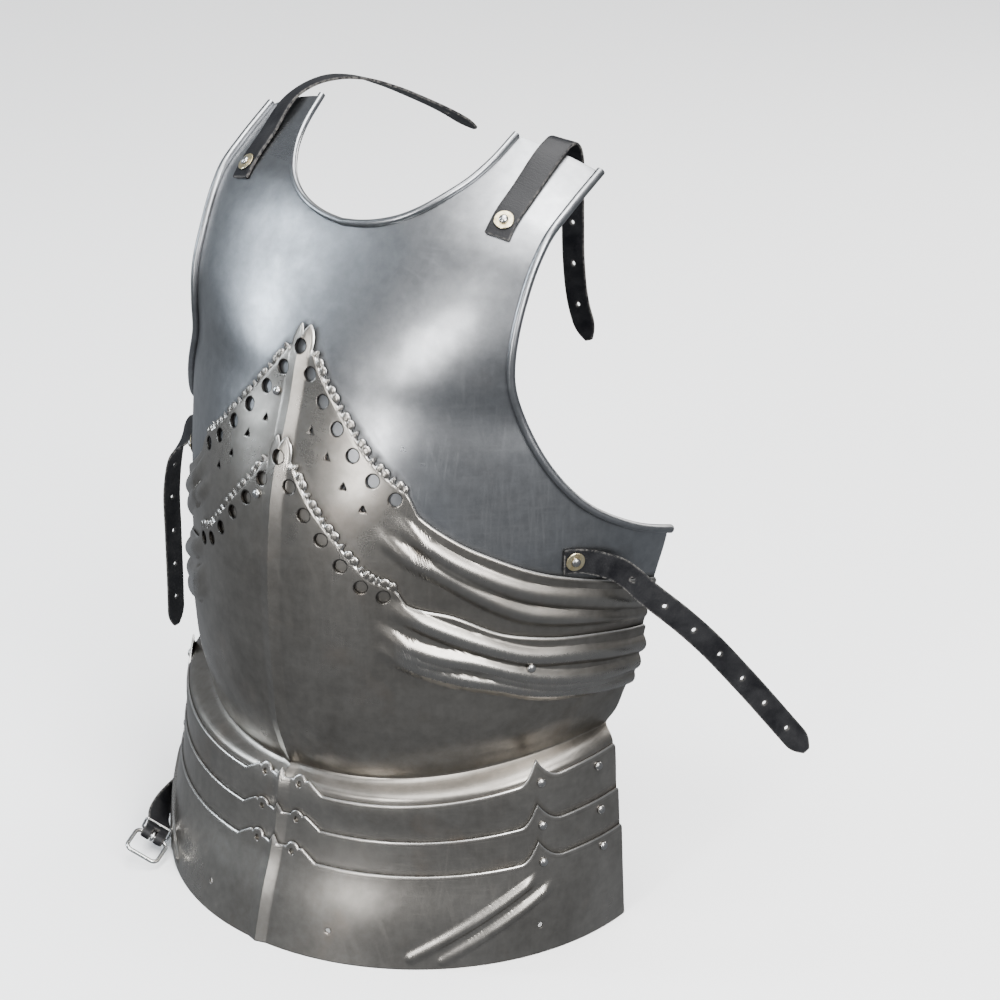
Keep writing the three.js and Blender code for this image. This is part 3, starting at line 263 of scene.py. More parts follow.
def snap(flat, distance, level, reach):
    """Grid points nearer than reach to the level line are moved onto it, down the slope of the
    distance function, so that the cut leaves no slivers."""
    value = distance(flat)
    near = np.abs(value - level) < reach
    spots = flat[near]
    nudge = 1e-5
    slope = np.stack([
        distance(spots + [nudge, 0]) - value[near],
        distance(spots + [0, nudge]) - value[near],
    ], -1) / nudge
    steep = np.maximum((slope**2).sum(-1, keepdims=True), 0.25)
    flat = flat.copy()
    flat[near] = spots - slope * (value[near] - level)[:, None] / steep
    value[near] = level
    return flat, value


def split(flat, value, faces, level):
    """Cuts each triangle that the level line crosses into three, with new points where the
    distance, taken as straight along an edge, is equal to the level."""
    above = value > level
    below = value < level
    crossed = above[faces].any(1) & below[faces].any(1)
    whole, odd = faces[~crossed], faces[crossed]
    touching = (value[odd] == level).any(1)
    pairs = odd[touching]
    first = (value[pairs] == level).argmax(1)
    pairs = pairs[np.arange(len(pairs))[:, None], (first[:, None] + [0, 1, 2]) % 3]
    odd = odd[~touching]
    lone_above = above[odd].sum(1) == 1
    first = (above[odd] == lone_above[:, None]).argmax(1)
    odd = odd[np.arange(len(odd))[:, None], (first[:, None] + [0, 1, 2]) % 3]
    a, b, c = odd.T
    p, q, r = pairs.T
    ends = np.concatenate([np.stack([a, b], 1), np.stack([a, c], 1), np.stack([q, r], 1)])
    edges, number = np.unique(np.sort(ends, 1), axis=0, return_inverse=True)
    number = number.ravel() + len(flat)
    start, end = value[edges[:, 0]], value[edges[:, 1]]
    share = ((level - start) / (end - start))[:, None]
    added = flat[edges[:, 0]] * (1 - share) + flat[edges[:, 1]] * share
    ab, ac, qr = np.split(number, [len(a), 2 * len(a)])
    faces = np.concatenate([
        whole, np.stack([a, ab, ac], 1), np.stack([ab, b, c], 1), np.stack([ab, c, ac], 1),
        np.stack([p, q, qr], 1), np.stack([p, qr, r], 1),
    ])
    return np.vstack([flat, added]), np.concatenate([value, np.full(len(added), level)]), faces


def cut_sheet(columns, heights, distance, lines, reach):
    """The flat sheet: the grid inside the distance of zero, with further cuts along lines inside
    it, where the edge's shape changes. Heights hold a row of values for each grid row."""
    flat = np.stack([np.broadcast_to(columns, heights.shape), heights], -1).reshape(-1, 2)
    faces = grid_faces(*heights.shape)
    flat, value = snap(flat, distance, 0.0, reach)
    flat, value, faces = split(flat, value, faces, 0.0)
    faces = faces[(value[faces] <= 0).all(1) & (value[faces] < 0).any(1)]
    for line in lines:
        flat, value, faces = split(flat, value, faces, -line)
    used, packed = np.unique(faces, return_inverse=True)
    return flat[used], value[used], packed.reshape(-1, 3)


# %% [markdown]
# Two faces and a rim turn the cut sheet into metal. The outer face drops to the bevel along the
# cut, the inner face follows at the plate's thickness, and each free edge gets a strip between
# them. The distance to the edge stays on the mesh as an attribute, and the steel's material reads
# it for the bright filed edge, which is partly a painted highlight, and the chased line beside it.

# %% Turn a cut sheet into a plate


def free_edges(faces):
    """The edges that belong to one triangle only, in the direction in which it runs."""
    edges = np.concatenate([faces[:, [0, 1]], faces[:, [1, 2]], faces[:, [2, 0]]])
    _, first, count = np.unique(np.sort(edges, 1), axis=0, return_index=True, return_counts=True)
    return edges[first[count == 1]]


def make_mesh(name, points, triangles, quads, sharp_degrees=26):
    """A mesh object at the origin from whole arrays, smooth but for its sharp angles."""
    mesh = bpy.data.meshes.new(name)
    corners = np.concatenate([np.ravel(triangles), np.ravel(quads)]).astype(np.int32)
    sizes = np.concatenate([np.full(len(triangles), 3), np.full(len(quads), 4)])
    mesh.vertices.add(len(points))
    mesh.vertices.foreach_set("co", np.ravel(points).astype(np.float32))
    mesh.loops.add(len(corners))
    mesh.loops.foreach_set("vertex_index", corners)
    mesh.polygons.add(len(sizes))
    mesh.polygons.foreach_set("loop_start", (np.cumsum(sizes) - sizes).astype(np.int32))
    mesh.update(calc_edges=True)
    mesh.validate()
    mesh.polygons.foreach_set("use_smooth", np.ones(len(mesh.polygons), bool))
    mesh.set_sharp_from_angle(angle=math.radians(sharp_degrees))
    return into_scene(name, mesh)


def two_faced(sheet, lay, outer, inner, bevel, depth, rounding=0.0):
    """Points and faces of a plate. lay(turn, height, offset) puts flat points in space, and outer
    and inner give the offsets of the two faces at each flat point. The outer face drops by depth
    over the bevel's width, and by the rounding."""
    flat, value, faces = sheet
    turn, height = flat.T
    drop = depth * smooth(1 + value / bevel) + rounding
    points = np.vstack([
        lay(turn, height, outer(turn, height) - drop),
        lay(turn, height, inner(turn, height)),
    ])
    count = len(flat)
    a, b = free_edges(faces).T
    triangles = np.vstack([faces, faces[:, ::-1] + count])
    quads = np.stack([b, a, a + count, b + count], 1)
    return points, triangles, quads, np.concatenate([-value, -value])


def add_values(piece, name, values):
    """A number for each point of the mesh, which the materials can read."""
    layer = piece.data.attributes.new(name, "FLOAT", "POINT")
    layer.data.foreach_set("value", np.ravel(values).astype(np.float32))


def stand_for(piece, slot, *nodes):
    """The piece rides on the one body and takes the place of its solids. slot is not used."""
    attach(piece, "root")
    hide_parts(*nodes)


def plate(name, sheet, lay, layer, relief, outline, cover=None, dome=1.0, holes=None):
    """A finished plate object. layer is its outer offset, relief what stands up from it, outline
    the distance to its own contour, cover the distance to the plate that lies over it, and holes
    the distance to the nearest hole."""
    flat = sheet[0]
    own = outline(*flat.T)
    outer = lambda turn, height: layer + relief(turn, height)
    inner = lambda turn, height: layer - THICKNESS + relief(turn, height)
    points, triangles, quads, _ = two_faced(
        sheet, lay, outer, inner, BEVEL, BEVEL_DEPTH, dome * dome_drop(own))
    piece = make_mesh(name, points, triangles, quads)
    # The materials read these values: a bright band at the cut that is partly a painted highlight,
    # painted shade near and under the plate that lies over this one, lighter crests that are partly
    # a painted highlight, and a painted shadow round each hole
    add_values(piece, "edge_distance", np.tile(-own, 2))
    away = np.full(len(flat), 1.0) if cover is None else cover(*flat.T)
    add_values(piece, "cover_distance", np.tile(away, 2))
    add_values(piece, "crest", np.tile(relief(*flat.T) / LOWER_FLUTE_HEIGHT, 2))
    if holes is not None:
        add_values(piece, "hole_nearness", np.tile(NEAR_HOLE - holes(*flat.T), 2))
    print(name, len(points), "points", len(piece.data.polygons), "faces")
    return piece


def join_shapes(shapes):
    """Several (points, triangles, quads) as one, with the numbers moved on."""
    start = np.cumsum([0] + [len(s[0]) for s in shapes[:-1]])
    points = np.vstack([s[0] for s in shapes])
    triangles = np.vstack([np.reshape(s[1], (-1, 3)) + n for s, n in zip(shapes, start)])
    quads = np.vstack([np.reshape(s[2], (-1, 4)) + n for s, n in zip(shapes, start)])
    return points, triangles.astype(int), quads.astype(int)


# %% [markdown]
# Plates lie on each other in layers. The offsets are those of the solids: the chest plate's outer
# face is the form itself, each plackart stands off by its gap, and the lames lie over the flange.

# %% Layers
THICKNESS = 0.0015
CHEST_GAP = 0.0012
LAME_GAP = 0.0005
CHEST_OUTER = 0.0
UPPER_OUTER = CHEST_OUTER + CHEST_GAP + THICKNESS
LOWER_OUTER = UPPER_OUTER + CHEST_GAP + THICKNESS
FLANGE_OUTER = THICKNESS
LAME_OUTERS = [(n + 1) * (THICKNESS + LAME_GAP) + THICKNESS for n in range(3)]
BEVEL = 0.0006
BEVEL_DEPTH = 0.00025
DOME_REACH = 0.0024
DOME_DEPTH = 0.0009
NEAR_HOLE = 0.010
outers = (UPPER_OUTER, LOWER_OUTER, *LAME_OUTERS)
print("outer faces in mm:", [round(v * 1000, 2) for v in outers])


def height_line(rows):
    """A line across a plate, the same on both sides. The table gives a share of the shoulder's
    height at each turn."""
    curve = table_curve(rows)
    return lambda turn: curve(np.abs(turn))[..., 0] * SHOULDER_HEIGHT


KEEL_HEIGHT = 0.0024
KEEL_TURN = 2.6
ROUND_TOP = 1.15


def keel(turn, height):
    """A low roof over the centre line with a crisp top: the share of the way in from the roof's
    foot, to a power a little over one."""
    return KEEL_HEIGHT * np.clip(1 - np.abs(turn) / KEEL_TURN, 0, 1) ** ROUND_TOP


def dome_drop(outline):
    """The rounding of an edge: the square of the share of its reach, by the outline's distance."""
    return DOME_DEPTH * np.clip(1 + outline / DOME_REACH, 0, 1) ** 2


def as_length(turn):
    """The flat length that belongs to a turn."""
    return np.radians(turn) * WRAP_RADIUS


def as_turn(length):
    """The turn that belongs to a flat length."""
    return np.degrees(length / WRAP_RADIUS)


def flat_at(turn, height):
    """Turns and heights as flat points."""
    return np.stack([as_length(turn), height], -1)


def in_turns(sheet):
    """A cut sheet whose flat lengths are given as turns again."""
    flat, value, faces = sheet
    return np.stack([as_turn(flat[:, 0]), flat[:, 1]], -1), value, faces


# %% [markdown]
# Both plackarts end in a pierced border. One unit of it has a round hole with two round lobes
# outside it, and a small tooth stands between two units. At the top of the ridge the border ends
# in a leaf with two points. Each of these is a simple distance: to a circle, to a line or to a slim
# leaf. Taking the smallest joins them, and taking the larger of one and the other turned inside out
# cuts a hole.

# %% The border as a distance function
HOLE_RADIUS = 0.0047
LOBE_RADIUS = 0.0034
LOBE_SPREAD = 0.0031
LOBE_OUT = 0.0094
COLLAR_OUT = 0.0080
CORE_OUT = 0.0040
TOOTH_OUT = 0.0134
TOOTH_HALF_WIDTH = 0.0023
LEAF_TIP = 0.0145
LEAF_SPREAD = 0.0040
LEAF_HALF_WIDTH = 0.0056
TRIANGLE_RADIUS = 0.0030
LAST_PITCH = 4.4
FADE_TURN = 3.5
BOSS_RADIUS = HOLE_RADIUS * 1.7


def circle(x, y, radius):
    """The distance to the centre less the radius."""
    return np.hypot(x, y) - radius


def leaf(x, y, foot, tip, half_width, fullness=1.3):
    """A pointed leaf that stands on foot: its half width shrinks to nothing at the tip, first
    slowly and then fast, by a power of the cosine of the share of its height."""
    share = np.clip((y - foot) / (tip - foot), 0, 1)
    side = np.abs(x) - half_width * np.cos(share * np.pi / 2) ** fullness
    return np.maximum(side * 0.85, y - tip)


def border_outline(flat, hole_turns, hole_line, edge_line, end_turn):
    """The border's units follow the line of holes. A place on the sheet is read by its foot, the
    nearest point of that line: the foot's turn gives the number of the nearest hole and the rest
    along the line, and the distance to the foot is how far out the place lies."""
    length, height = np.abs(flat[:, 0]), flat[:, 1]
    foot = length
    for _ in range(3):
        turn = np.maximum(as_turn(foot), 0.5)
        slope = (hole_line(turn + 0.5) - hole_line(turn - 0.5)) / as_length(1.0)
        rise = height - hole_line(turn)
        ahead = length - as_length(turn)
        foot = as_length(turn) + (ahead + rise * slope) / (1 + slope**2)
    lean = 1 / np.sqrt(1 + slope**2)
    out = (rise - slope * ahead) * lean
    turn = as_turn(foot)
    knots = np.array([0.0, *hole_turns, hole_turns[-1] + LAST_PITCH])
    phase = np.where(turn < 0, turn / knots[1], np.interp(turn, knots, np.arange(len(knots))))
    pitch = np.interp(phase, np.arange(len(knots) - 1) + 0.5, as_length(np.diff(knots))) / lean
    along = (phase - np.round(phase)) * pitch
    to_tooth = (0.5 - np.abs(phase - np.round(phase))) * pitch
    units = np.minimum.reduce([
        out - COLLAR_OUT,
        circle(np.abs(along) - LOBE_SPREAD, out - LOBE_OUT, LOBE_RADIUS),
        leaf(to_tooth, out, COLLAR_OUT - 0.002, TOOTH_OUT, TOOTH_HALF_WIDTH, 0.8),
    ])
    units = np.maximum(units, (0.5 - phase) * pitch - TOOTH_HALF_WIDTH)
    here = as_turn(length)
    core = (height - hole_line(here)) * lean - CORE_OUT
    plain = (height - edge_line(here)) * lean
    units = np.minimum(units, core)
    body = units + (plain - units) * smooth((here - end_turn) / FADE_TURN)
    above = height - hole_line(0.0)
    tip = np.minimum(
        leaf(length - LEAF_SPREAD, above, 0.001, LEAF_TIP, LEAF_HALF_WIDTH, 0.6),
        circle(length, above, BOSS_RADIUS))
    return np.minimum(body, tip)


def border_holes(flat, hole_turns, hole_line):
    """Round holes at the ridge and at each unit of both sides."""
    length, height = flat.T
    return np.min([circle(np.abs(length) - as_length(turn), height - hole_line(turn), HOLE_RADIUS)
                   for turn in (0.0, *hole_turns)], axis=0)


def triangle_distance(flat, places, radius):
    """Small three-cornered piercings: the largest of three straight sides round each centre, with
    a corner upwards."""
    length, height = flat.T
    shapes = []
    for turn, share in places:
        x = np.abs(length) - as_length(turn)
        y = height - share * SHOULDER_HEIGHT
        sides = [x * math.cos(a) + y * math.sin(a) - radius / 2
                 for a in (math.radians(-90), math.radians(30), math.radians(150))]
        shapes.append(np.max(sides, axis=0))
    return np.min(shapes, axis=0)


# %% Lines of the two plackarts
UPPER_HOLE_TURNS = [3.5, 7.3, 11.4, 15.6, 20.4, 25.4]
upper_holes = height_line([
    (0, 0.771), (3.5, 0.743), (11.4, 0.687), (20.4, 0.633), (25.4, 0.613), (30, 0.600)])
upper_edge = height_line([
    (0, 0.786), (3.5, 0.757), (11.4, 0.701), (20.4, 0.645), (25.4, 0.624), (29, 0.602),
    (38.5, 0.563), (47.7, 0.538), (57, 0.517), (67, 0.501), (84, 0.475), (90, 0.465)])
UPPER_FLUTES = [
    (24.5, height_line([(20, 0.600), (26.6, 0.584), (33, 0.555), (39, 0.533), (46, 0.513),
                        (54, 0.494), (70, 0.470), (90, 0.440)])),
    (21.0, height_line([(18, 0.582), (23, 0.566), (27, 0.549), (36, 0.521), (47, 0.485),
                        (54, 0.466), (70, 0.442), (90, 0.407)])),
]
BORDER_END = 1.7
UPPER_TRIANGLES = [(5.8, 0.679), (10.2, 0.653), (14.5, 0.622), (19.0, 0.598)]
LOWER_HOLE_TURNS = [3.4, 7.2, 11.2, 15.5, 20.0, 24.8]
lower_holes = height_line([
    (0, 0.642), (3.4, 0.611), (7.2, 0.582), (11.2, 0.556), (15.5, 0.527), (20, 0.503),
    (24.6, 0.493), (30, 0.48)])
lower_edge = height_line([
    (0, 0.657), (3.4, 0.626), (7.2, 0.597), (11.2, 0.571), (15.5, 0.542), (20, 0.517),
    (24.6, 0.503), (29, 0.485), (40, 0.467), (51, 0.441), (60, 0.430), (76, 0.418), (90, 0.402)])
LOWER_FLUTES = [
    (24.5, height_line([(22, 0.486), (28.7, 0.472), (35, 0.455), (42, 0.438), (48, 0.425),
                        (56, 0.409), (71, 0.395), (90, 0.372)])),
    (22.5, height_line([(18, 0.460), (25, 0.445), (31, 0.426), (37, 0.414), (46, 0.402),
                        (54, 0.386), (61, 0.372), (72, 0.357), (90, 0.343)])),
    (22.5, height_line([(18, 0.436), (25, 0.423), (33, 0.402), (42, 0.384), (52, 0.369),
                        (59, 0.355), (73, 0.337), (90, 0.318)])),
]
UPPER_FLUTE_HEIGHT = 0.0036
LOWER_FLUTE_HEIGHT = 0.0042
FLUTE_HALF_WIDTH = 0.0085
FLUTE_RISE_TURN = 9


def flute_relief(flutes, height_of_flute, turn, height):
    """Ribs that are round on top and meet the plate in a crease: one less the square of the share
    of the half width, to the keel's power. They rise slowly out of the border's end."""
    total = np.zeros(np.shape(turn))
    for start, line in flutes:
        share = (height - line(turn)) / FLUTE_HALF_WIDTH
        rib = height_of_flute * np.clip(1 - share**2, 0, 1) ** ROUND_TOP
        total += rib * smooth((np.abs(turn) - start) / FLUTE_RISE_TURN)
    return total


def upper_relief(turn, height):
    """The keel and the flutes, which die out before the lower plackart covers them."""
    clear = smooth((height - lower_edge(turn) - FLUTE_HALF_WIDTH * 0.5) / FLUTE_HALF_WIDTH)
    return keel(turn, height) + clear * flute_relief(UPPER_FLUTES, UPPER_FLUTE_HEIGHT, turn, height)


def lower_relief(turn, height):
    """The keel and the flutes."""
    return keel(turn, height) + flute_relief(LOWER_FLUTES, LOWER_FLUTE_HEIGHT, turn, height)


# %% [markdown]
# The upper plackart lies on the chest plate. Its grid is fine in front, where the border is, and
# coarser round the sides, where only the flutes run. The rows hang from the border's line, so the
# fine rows follow the V of the border.

# %% Upper plackart
BORDER_DEPTH = 0.046
UPPER_LAP = 0.036
BORDER_HEADROOM = 0.0215
FINE_STEP = 0.0011
FOOT_STEP = 0.0016
SIDE_END = 89.9


def hanging_rows(top, bottom, fine_depth, fine_step, coarse_rows):
    """Heights of the grid rows, from a top and a bottom height for each column: a fine band that
    hangs from the top, then rows in equal shares down to the bottom."""
    fine = top - np.arange(int(fine_depth / fine_step) + 1)[:, None] * fine_step
    share = np.linspace(0, 1, coarse_rows + 1)[1:, None]
    coarse = fine[-1] * (1 - share) + bottom * share
    return np.vstack([fine, coarse])[::-1]


def outline_of(holes_and_lines):
    """The outline of a plackart as a function of turn and height."""
    hole_turns, hole_line, edge_line = holes_and_lines
    end = hole_turns[-1] + BORDER_END
    return lambda turn, height: border_outline(
        flat_at(turn, height), hole_turns, hole_line, edge_line, end)


upper_border = (UPPER_HOLE_TURNS, upper_holes, upper_edge)
lower_border = (LOWER_HOLE_TURNS, lower_holes, lower_edge)
upper_outline = outline_of(upper_border)
lower_outline = outline_of(lower_border)


def holes_of(holes_and_lines):
    """The distance to the holes of a border as a function of turn and height."""
    hole_turns, hole_line, _ = holes_and_lines
    return lambda turn, height: border_holes(flat_at(turn, height), hole_turns, hole_line)


def plackart_sheet(border, bottom, coarse_rows, extra=None, foot=None):
    """The flat sheet of a plackart in turn and height, ready to be laid on the torso. Where a foot
    is given, level rows go on from the bottom line down to it."""
    hole_turns, hole_line, edge_line = border
    end = hole_turns[-1] + BORDER_END
    columns = mirrored_lines(as_length([0, 30, 37, 90]), [FINE_STEP, 0.002, 0.0034])
    turns = as_turn(columns)
    past = smooth((np.abs(turns) - end) / 8)
    above_holes = hole_line(turns) + BORDER_HEADROOM
    top = above_holes * (1 - past) + (edge_line(turns) + 0.003) * past
    heights = hanging_rows(top, bottom(turns), BORDER_DEPTH, FINE_STEP, coarse_rows)
    if foot is not None:
        low = np.arange(foot, bottom(0.0) - 0.0006, FOOT_STEP)
        heights = np.vstack([np.repeat(low[:, None], len(columns), 1), heights])

    def distance(flat):
        shape = border_outline(flat, hole_turns, hole_line, edge_line, end)
        shape = np.maximum(shape, -border_holes(flat, hole_turns, hole_line))
        if extra is not None:
            shape = np.maximum(shape, -extra(flat))
        side = np.abs(flat[:, 0]) - as_length(SIDE_END)
        hem = (bottom(as_turn(flat[:, 0])) if foot is None else foot) + 0.0004 - flat[:, 1]
        return np.maximum(shape, np.maximum(side, hem))

    lines = (BEVEL, DOME_REACH * 0.55, DOME_REACH)
    return in_turns(cut_sheet(columns, heights, distance, lines, 0.00025))


triangles_at = lambda flat: triangle_distance(flat, UPPER_TRIANGLES, TRIANGLE_RADIUS)
upper_sheet = plackart_sheet(
    upper_border, lambda turn: lower_edge(turn) - UPPER_LAP, 40, extra=triangles_at)
upper_plackart = plate(
    "upper_plackart", upper_sheet, on_torso, UPPER_OUTER, upper_relief, upper_outline,
    lower_outline, holes=lambda turn, height: np.minimum(
        holes_of(upper_border)(turn, height), triangles_at(flat_at(turn, height))))

# %% [markdown]
# The lower plackart is the belly of the piece. Below the waist it turns out again into a flange
# that the fauld hangs from, so its points pass from the torso's form to the skirt's over a short
# stretch of height.

# %% Lower plackart
FLANGE_FOOT = 0.098
FLANGE_TOP = 0.122
TORSO_START = 0.1345


def on_lower(turn, height, offset):
    """Below the waist the skirt's point, above it the torso's, and a blend between them. The
    offset is measured from the plackart's own outer face."""
    share = smooth((height - FLANGE_TOP) / (TORSO_START - FLANGE_TOP))[..., None]
    low = on_skirt(turn, height, FLANGE_OUTER + offset)
    high = on_torso(turn, height, LOWER_OUTER + offset)
    return low * (1 - share) + high * share


LAME_HEIGHTS = [0.118, 0.091, 0.067]
lower_sheet = plackart_sheet(
    lower_border, lambda turn: TORSO_START + 0.012 + 0 * turn, 44, foot=FLANGE_FOOT)
lower_plackart = plate(
    "lower_plackart", lower_sheet, on_lower, 0.0, lower_relief, lower_outline,
    cover=lambda turn, height: height - LAME_HEIGHTS[0], holes=holes_of(lower_border))

# %% [markdown]
# The chest plate is the largest smooth surface. Its outline is one closed curve on the flat sheet:
# the hem hidden under the plackarts, the side, the armhole, the shoulder and the neck. The neck
# and the armholes are rolled outwards into a bead, which keeps the edge stiff and safe. A bead is
# a round profile carried along the edge.

# %% Chest plate outline
CHEST_LAP = 0.050
NECK_ROLL = 0.0026
ARM_ROLL = 0.0032
ARMHOLE = [(90, 0.533), (77, 0.561), (66, 0.598), (56.2, 0.660), (50.2, 0.722), (47.1, 0.795),
           (47.0, 0.870), (47.8, 0.942), (49.0, 1.0155)]
NECKLINE = [(0, 0.9065), (4.6, 0.9090), (8.9, 0.9140), (13.2, 0.9225), (17.2, 0.9355),
            (20.5, 0.9510), (23.4, 0.9690), (25.3, 0.9900), (26.4, 1.0155)]
EDGE_SPACING = 0.003


def smooth_route(points, spacing):
    """A smooth curve through points, sampled evenly: the table's key is the chord length."""
    points = np.asarray(points, float)
    chord = np.linalg.norm(np.diff(points, axis=0), axis=1)
    key = np.concatenate([[0], np.cumsum(chord)])
    curve = table_curve(np.column_stack([key, points]))
    return curve(np.linspace(0, key[-1], int(round(key[-1] / spacing)) + 1))


def flat_route(rows, full_height, spacing):
    """A table of turns and shares of a full height as a smooth line of flat points."""
    turn, share = np.array(rows, float).T
    return smooth_route(flat_at(turn, share * full_height), spacing)


armhole_line = flat_route(ARMHOLE, SHOULDER_HEIGHT, EDGE_SPACING)
neck_line = flat_route(NECKLINE, SHOULDER_HEIGHT, EDGE_SPACING)


def polygon_distance(flat, outline):
    """The distance to the nearest side of a closed outline, negative inside it. A place is inside
    where a ray crosses the outline an odd number of times."""
    start, end = outline, np.roll(outline, -1, axis=0)
    best = np.full(len(flat), np.inf)
    inside = np.zeros(len(flat), bool)
    for a, b in zip(start, end):
        side = b - a
        share = np.clip(((flat - a) @ side) / (side @ side), 0, 1)
        best = np.minimum(best, np.linalg.norm(flat - a - share[:, None] * side, axis=1))
        spans = (a[1] > flat[:, 1]) != (b[1] > flat[:, 1])
        if a[1] != b[1]:
            reach = a[0] + (flat[:, 1] - a[1]) * side[0] / side[1]
            inside ^= spans & (flat[:, 0] < reach)
    return np.where(inside, -best, best)


hem_turns = np.linspace(0, 90, 40)
hem_line = np.column_stack([as_length(hem_turns), lower_edge(hem_turns) - CHEST_LAP])
right_half = np.vstack([hem_line, armhole_line, neck_line[::-1]])
left_half = right_half[::-1] * [-1, 1]
chest_outline = np.vstack([right_half, left_half[1:-1]])

# %% Chest plate sheet
chest_columns = mirrored_lines(as_length([0, 22, 53, 90]), [0.004, 0.0026, 0.004])
chest_foot = float(lower_edge(90.0)) - CHEST_LAP - 0.002
chest_rows = graded([chest_foot, 0.30, SHOULDER_HEIGHT * 1.02], [0.0045, 0.0028])
chest_heights = np.broadcast_to(chest_rows[:, None], (len(chest_rows), len(chest_columns)))
chest_sheet = in_turns(cut_sheet(
    chest_columns, chest_heights, lambda flat: polygon_distance(flat, chest_outline),
    (BEVEL,), 0.0006))
chest_shape = two_faced(
    chest_sheet, on_torso, lambda turn, height: CHEST_OUTER + 0 * turn,
    lambda turn, height: CHEST_OUTER - THICKNESS + 0 * turn, BEVEL, BEVEL_DEPTH)


def tube(points, across, radius, sides, closed=False):
    """A round profile carried along a path. At each point the circle lies in the plane of two
    directions: across, made square to the path, and the one square to both."""
    count = len(points)
    if closed:
        tangent = unit(np.roll(points, -1, axis=0) - np.roll(points, 1, axis=0))
    else:
        tangent = unit(np.gradient(points, axis=0))
    side = unit(across - (across * tangent).sum(-1, keepdims=True) * tangent)
    other = np.cross(tangent, side)
    angle = np.linspace(0, 2 * np.pi, sides, endpoint=False)
    cosine, sine = np.cos(angle)[None, :, None], np.sin(angle)[None, :, None]
    skin = points[:, None] + (side[:, None] * cosine + other[:, None] * sine) * radius
    index = np.arange(count * sides).reshape(count, sides)
    ahead = np.roll(index, -1, axis=0) if closed else index[1:]
    here = index if closed else index[:-1]
    quads = np.stack([here, ahead, np.roll(ahead, -1, 1), np.roll(here, -1, 1)], -1)
    quads = quads.reshape(-1, 4)[:, ::-1]
    skin = skin.reshape(-1, 3)
    triangles = np.zeros((0, 3), int)
    if not closed:
        caps = len(skin) + np.arange(2)
        skin = np.vstack([skin, points[0], points[-1]])
        first, last = index[0], index[-1]
        triangles = np.vstack([
            np.stack([np.roll(first, -1), first, np.full(sides, caps[0])], 1),
            np.stack([last, np.roll(last, -1), np.full(sides, caps[1])], 1)])
        triangles = triangles[:, ::-1]
    return skin, triangles, quads


def edge_roll(line, radius, sign):
    """The bead along an edge of the chest plate, tangent to the inner face."""
    turn, height = sign * as_turn(line[:, 0]), line[:, 1]
    out = facing(torso_point, turn, height)
    foot = on_torso(turn, height, CHEST_OUTER - THICKNESS + 0 * turn)
    return tube(foot + out * radius, out, radius, 14)


whole_neck = np.vstack([neck_line[:0:-1] * [-1, 1], neck_line])
rolls = [edge_roll(whole_neck, NECK_ROLL, 1), edge_roll(armhole_line, ARM_ROLL, 1),
         edge_roll(armhole_line[::-1], ARM_ROLL, -1)]
chest_points, chest_triangles, chest_quads = join_shapes([chest_shape[:3], *rolls])
roll_count = len(chest_points) - len(chest_shape[0])
chest_plate = make_mesh("chest_plate", chest_points, chest_triangles, chest_quads)
add_values(chest_plate, "edge_distance", np.concatenate([chest_shape[3], np.zeros(roll_count)]))
# The chest steel paints shade where the upper plackart lies over it
chest_cover = np.tile(upper_outline(*chest_sheet[0].T), 2)
add_values(chest_plate, "cover_distance", np.concatenate([chest_cover, np.ones(roll_count)]))
print("chest plate", len(chest_points), "points")

# %% [markdown]
# The fauld's three lames hang below the waist, each outside the one above it. Their top edges are
# filed into a leaf and two pierced lobes over the ridge and a sharp cusp near each end. The lowest
# lame also has two oblique ribs at each side.

# %% Fauld lames
LAME_OVERLAP = 0.015
LAME_SIDE_RISE = 0.003
CREST_HEIGHT = 0.013
CREST_LINE = [(0, 0.0058), (2.9, 0.0062), (6.4, 0.0068), (7.3, 0.0080), (8.5, 0.0058),
              (11.2, 0.0), (90, 0.0)]
CREST_LOBE_TURN = 5.0
CREST_LOBE_RISE = 0.0046
CREST_LOBE_RADIUS = 0.0060
CREST_HOLE_RADIUS = 0.0023
CREST_HOLE_DROP = 0.0008
CUSP_HEIGHT = 0.0135
CUSP_POWER = 2.2
CUSP_TURNS = (58.6, 63.2, 70.6)
TASSET_HOLES = [-17.0, 17.0, 64.6]
TASSET_HEIGHT = 0.172 * WAIST_HEIGHT
TASSET_RADIUS = 0.0022
SKIRT_RIBS = [
    [(64, 0.46), (57, 0.37), (50, 0.275), (43, 0.175), (36, 0.07)],
    [(68, 0.40), (61, 0.305), (54, 0.21), (47, 0.11), (43, 0.05)],
]
SKIRT_RIB_HEIGHT = 0.0024
SKIRT_RIB_HALF_WIDTH = 0.0050


def lame_top(n, turn):
    """The plain upper edge with the cusp: a curve that rises as a power of the share of the way to
    the cusp's point, and falls off behind it in the same way."""
    start, peak, end = CUSP_TURNS
    side = np.abs(turn)
    before = np.clip((side - start) / (peak - start), 0, 1) ** CUSP_POWER
    after = np.clip((end - side) / (end - peak), 0, 1) ** CUSP_POWER
    cusp = CUSP_HEIGHT * np.where(side < peak, before, after)
    return LAME_HEIGHTS[n] + LAME_SIDE_RISE * np.sin(np.radians(turn)) ** 2 + cusp


def lame_outline(n, turn, height):
    """The plain edge with its stepped middle, the leaf and the lobes joined."""
    length = as_length(turn)
    step = 0.3
    top = lame_top(n, turn) + np.interp(np.abs(turn), *np.transpose(CREST_LINE))
    ahead = lame_top(n, turn + step) + np.interp(np.abs(turn + step), *np.transpose(CREST_LINE))
    lean = 1 / np.sqrt(1 + ((ahead - top) / as_length(step)) ** 2)
    plain = (height - top) * lean
    rise = height - LAME_HEIGHTS[n]
    lobe_x = np.abs(length) - as_length(CREST_LOBE_TURN)
    return np.minimum.reduce([
        plain,
        leaf(length, rise, 0.002, CREST_HEIGHT, 0.0046),
        circle(lobe_x, rise - CREST_LOBE_RISE, CREST_LOBE_RADIUS),
    ])


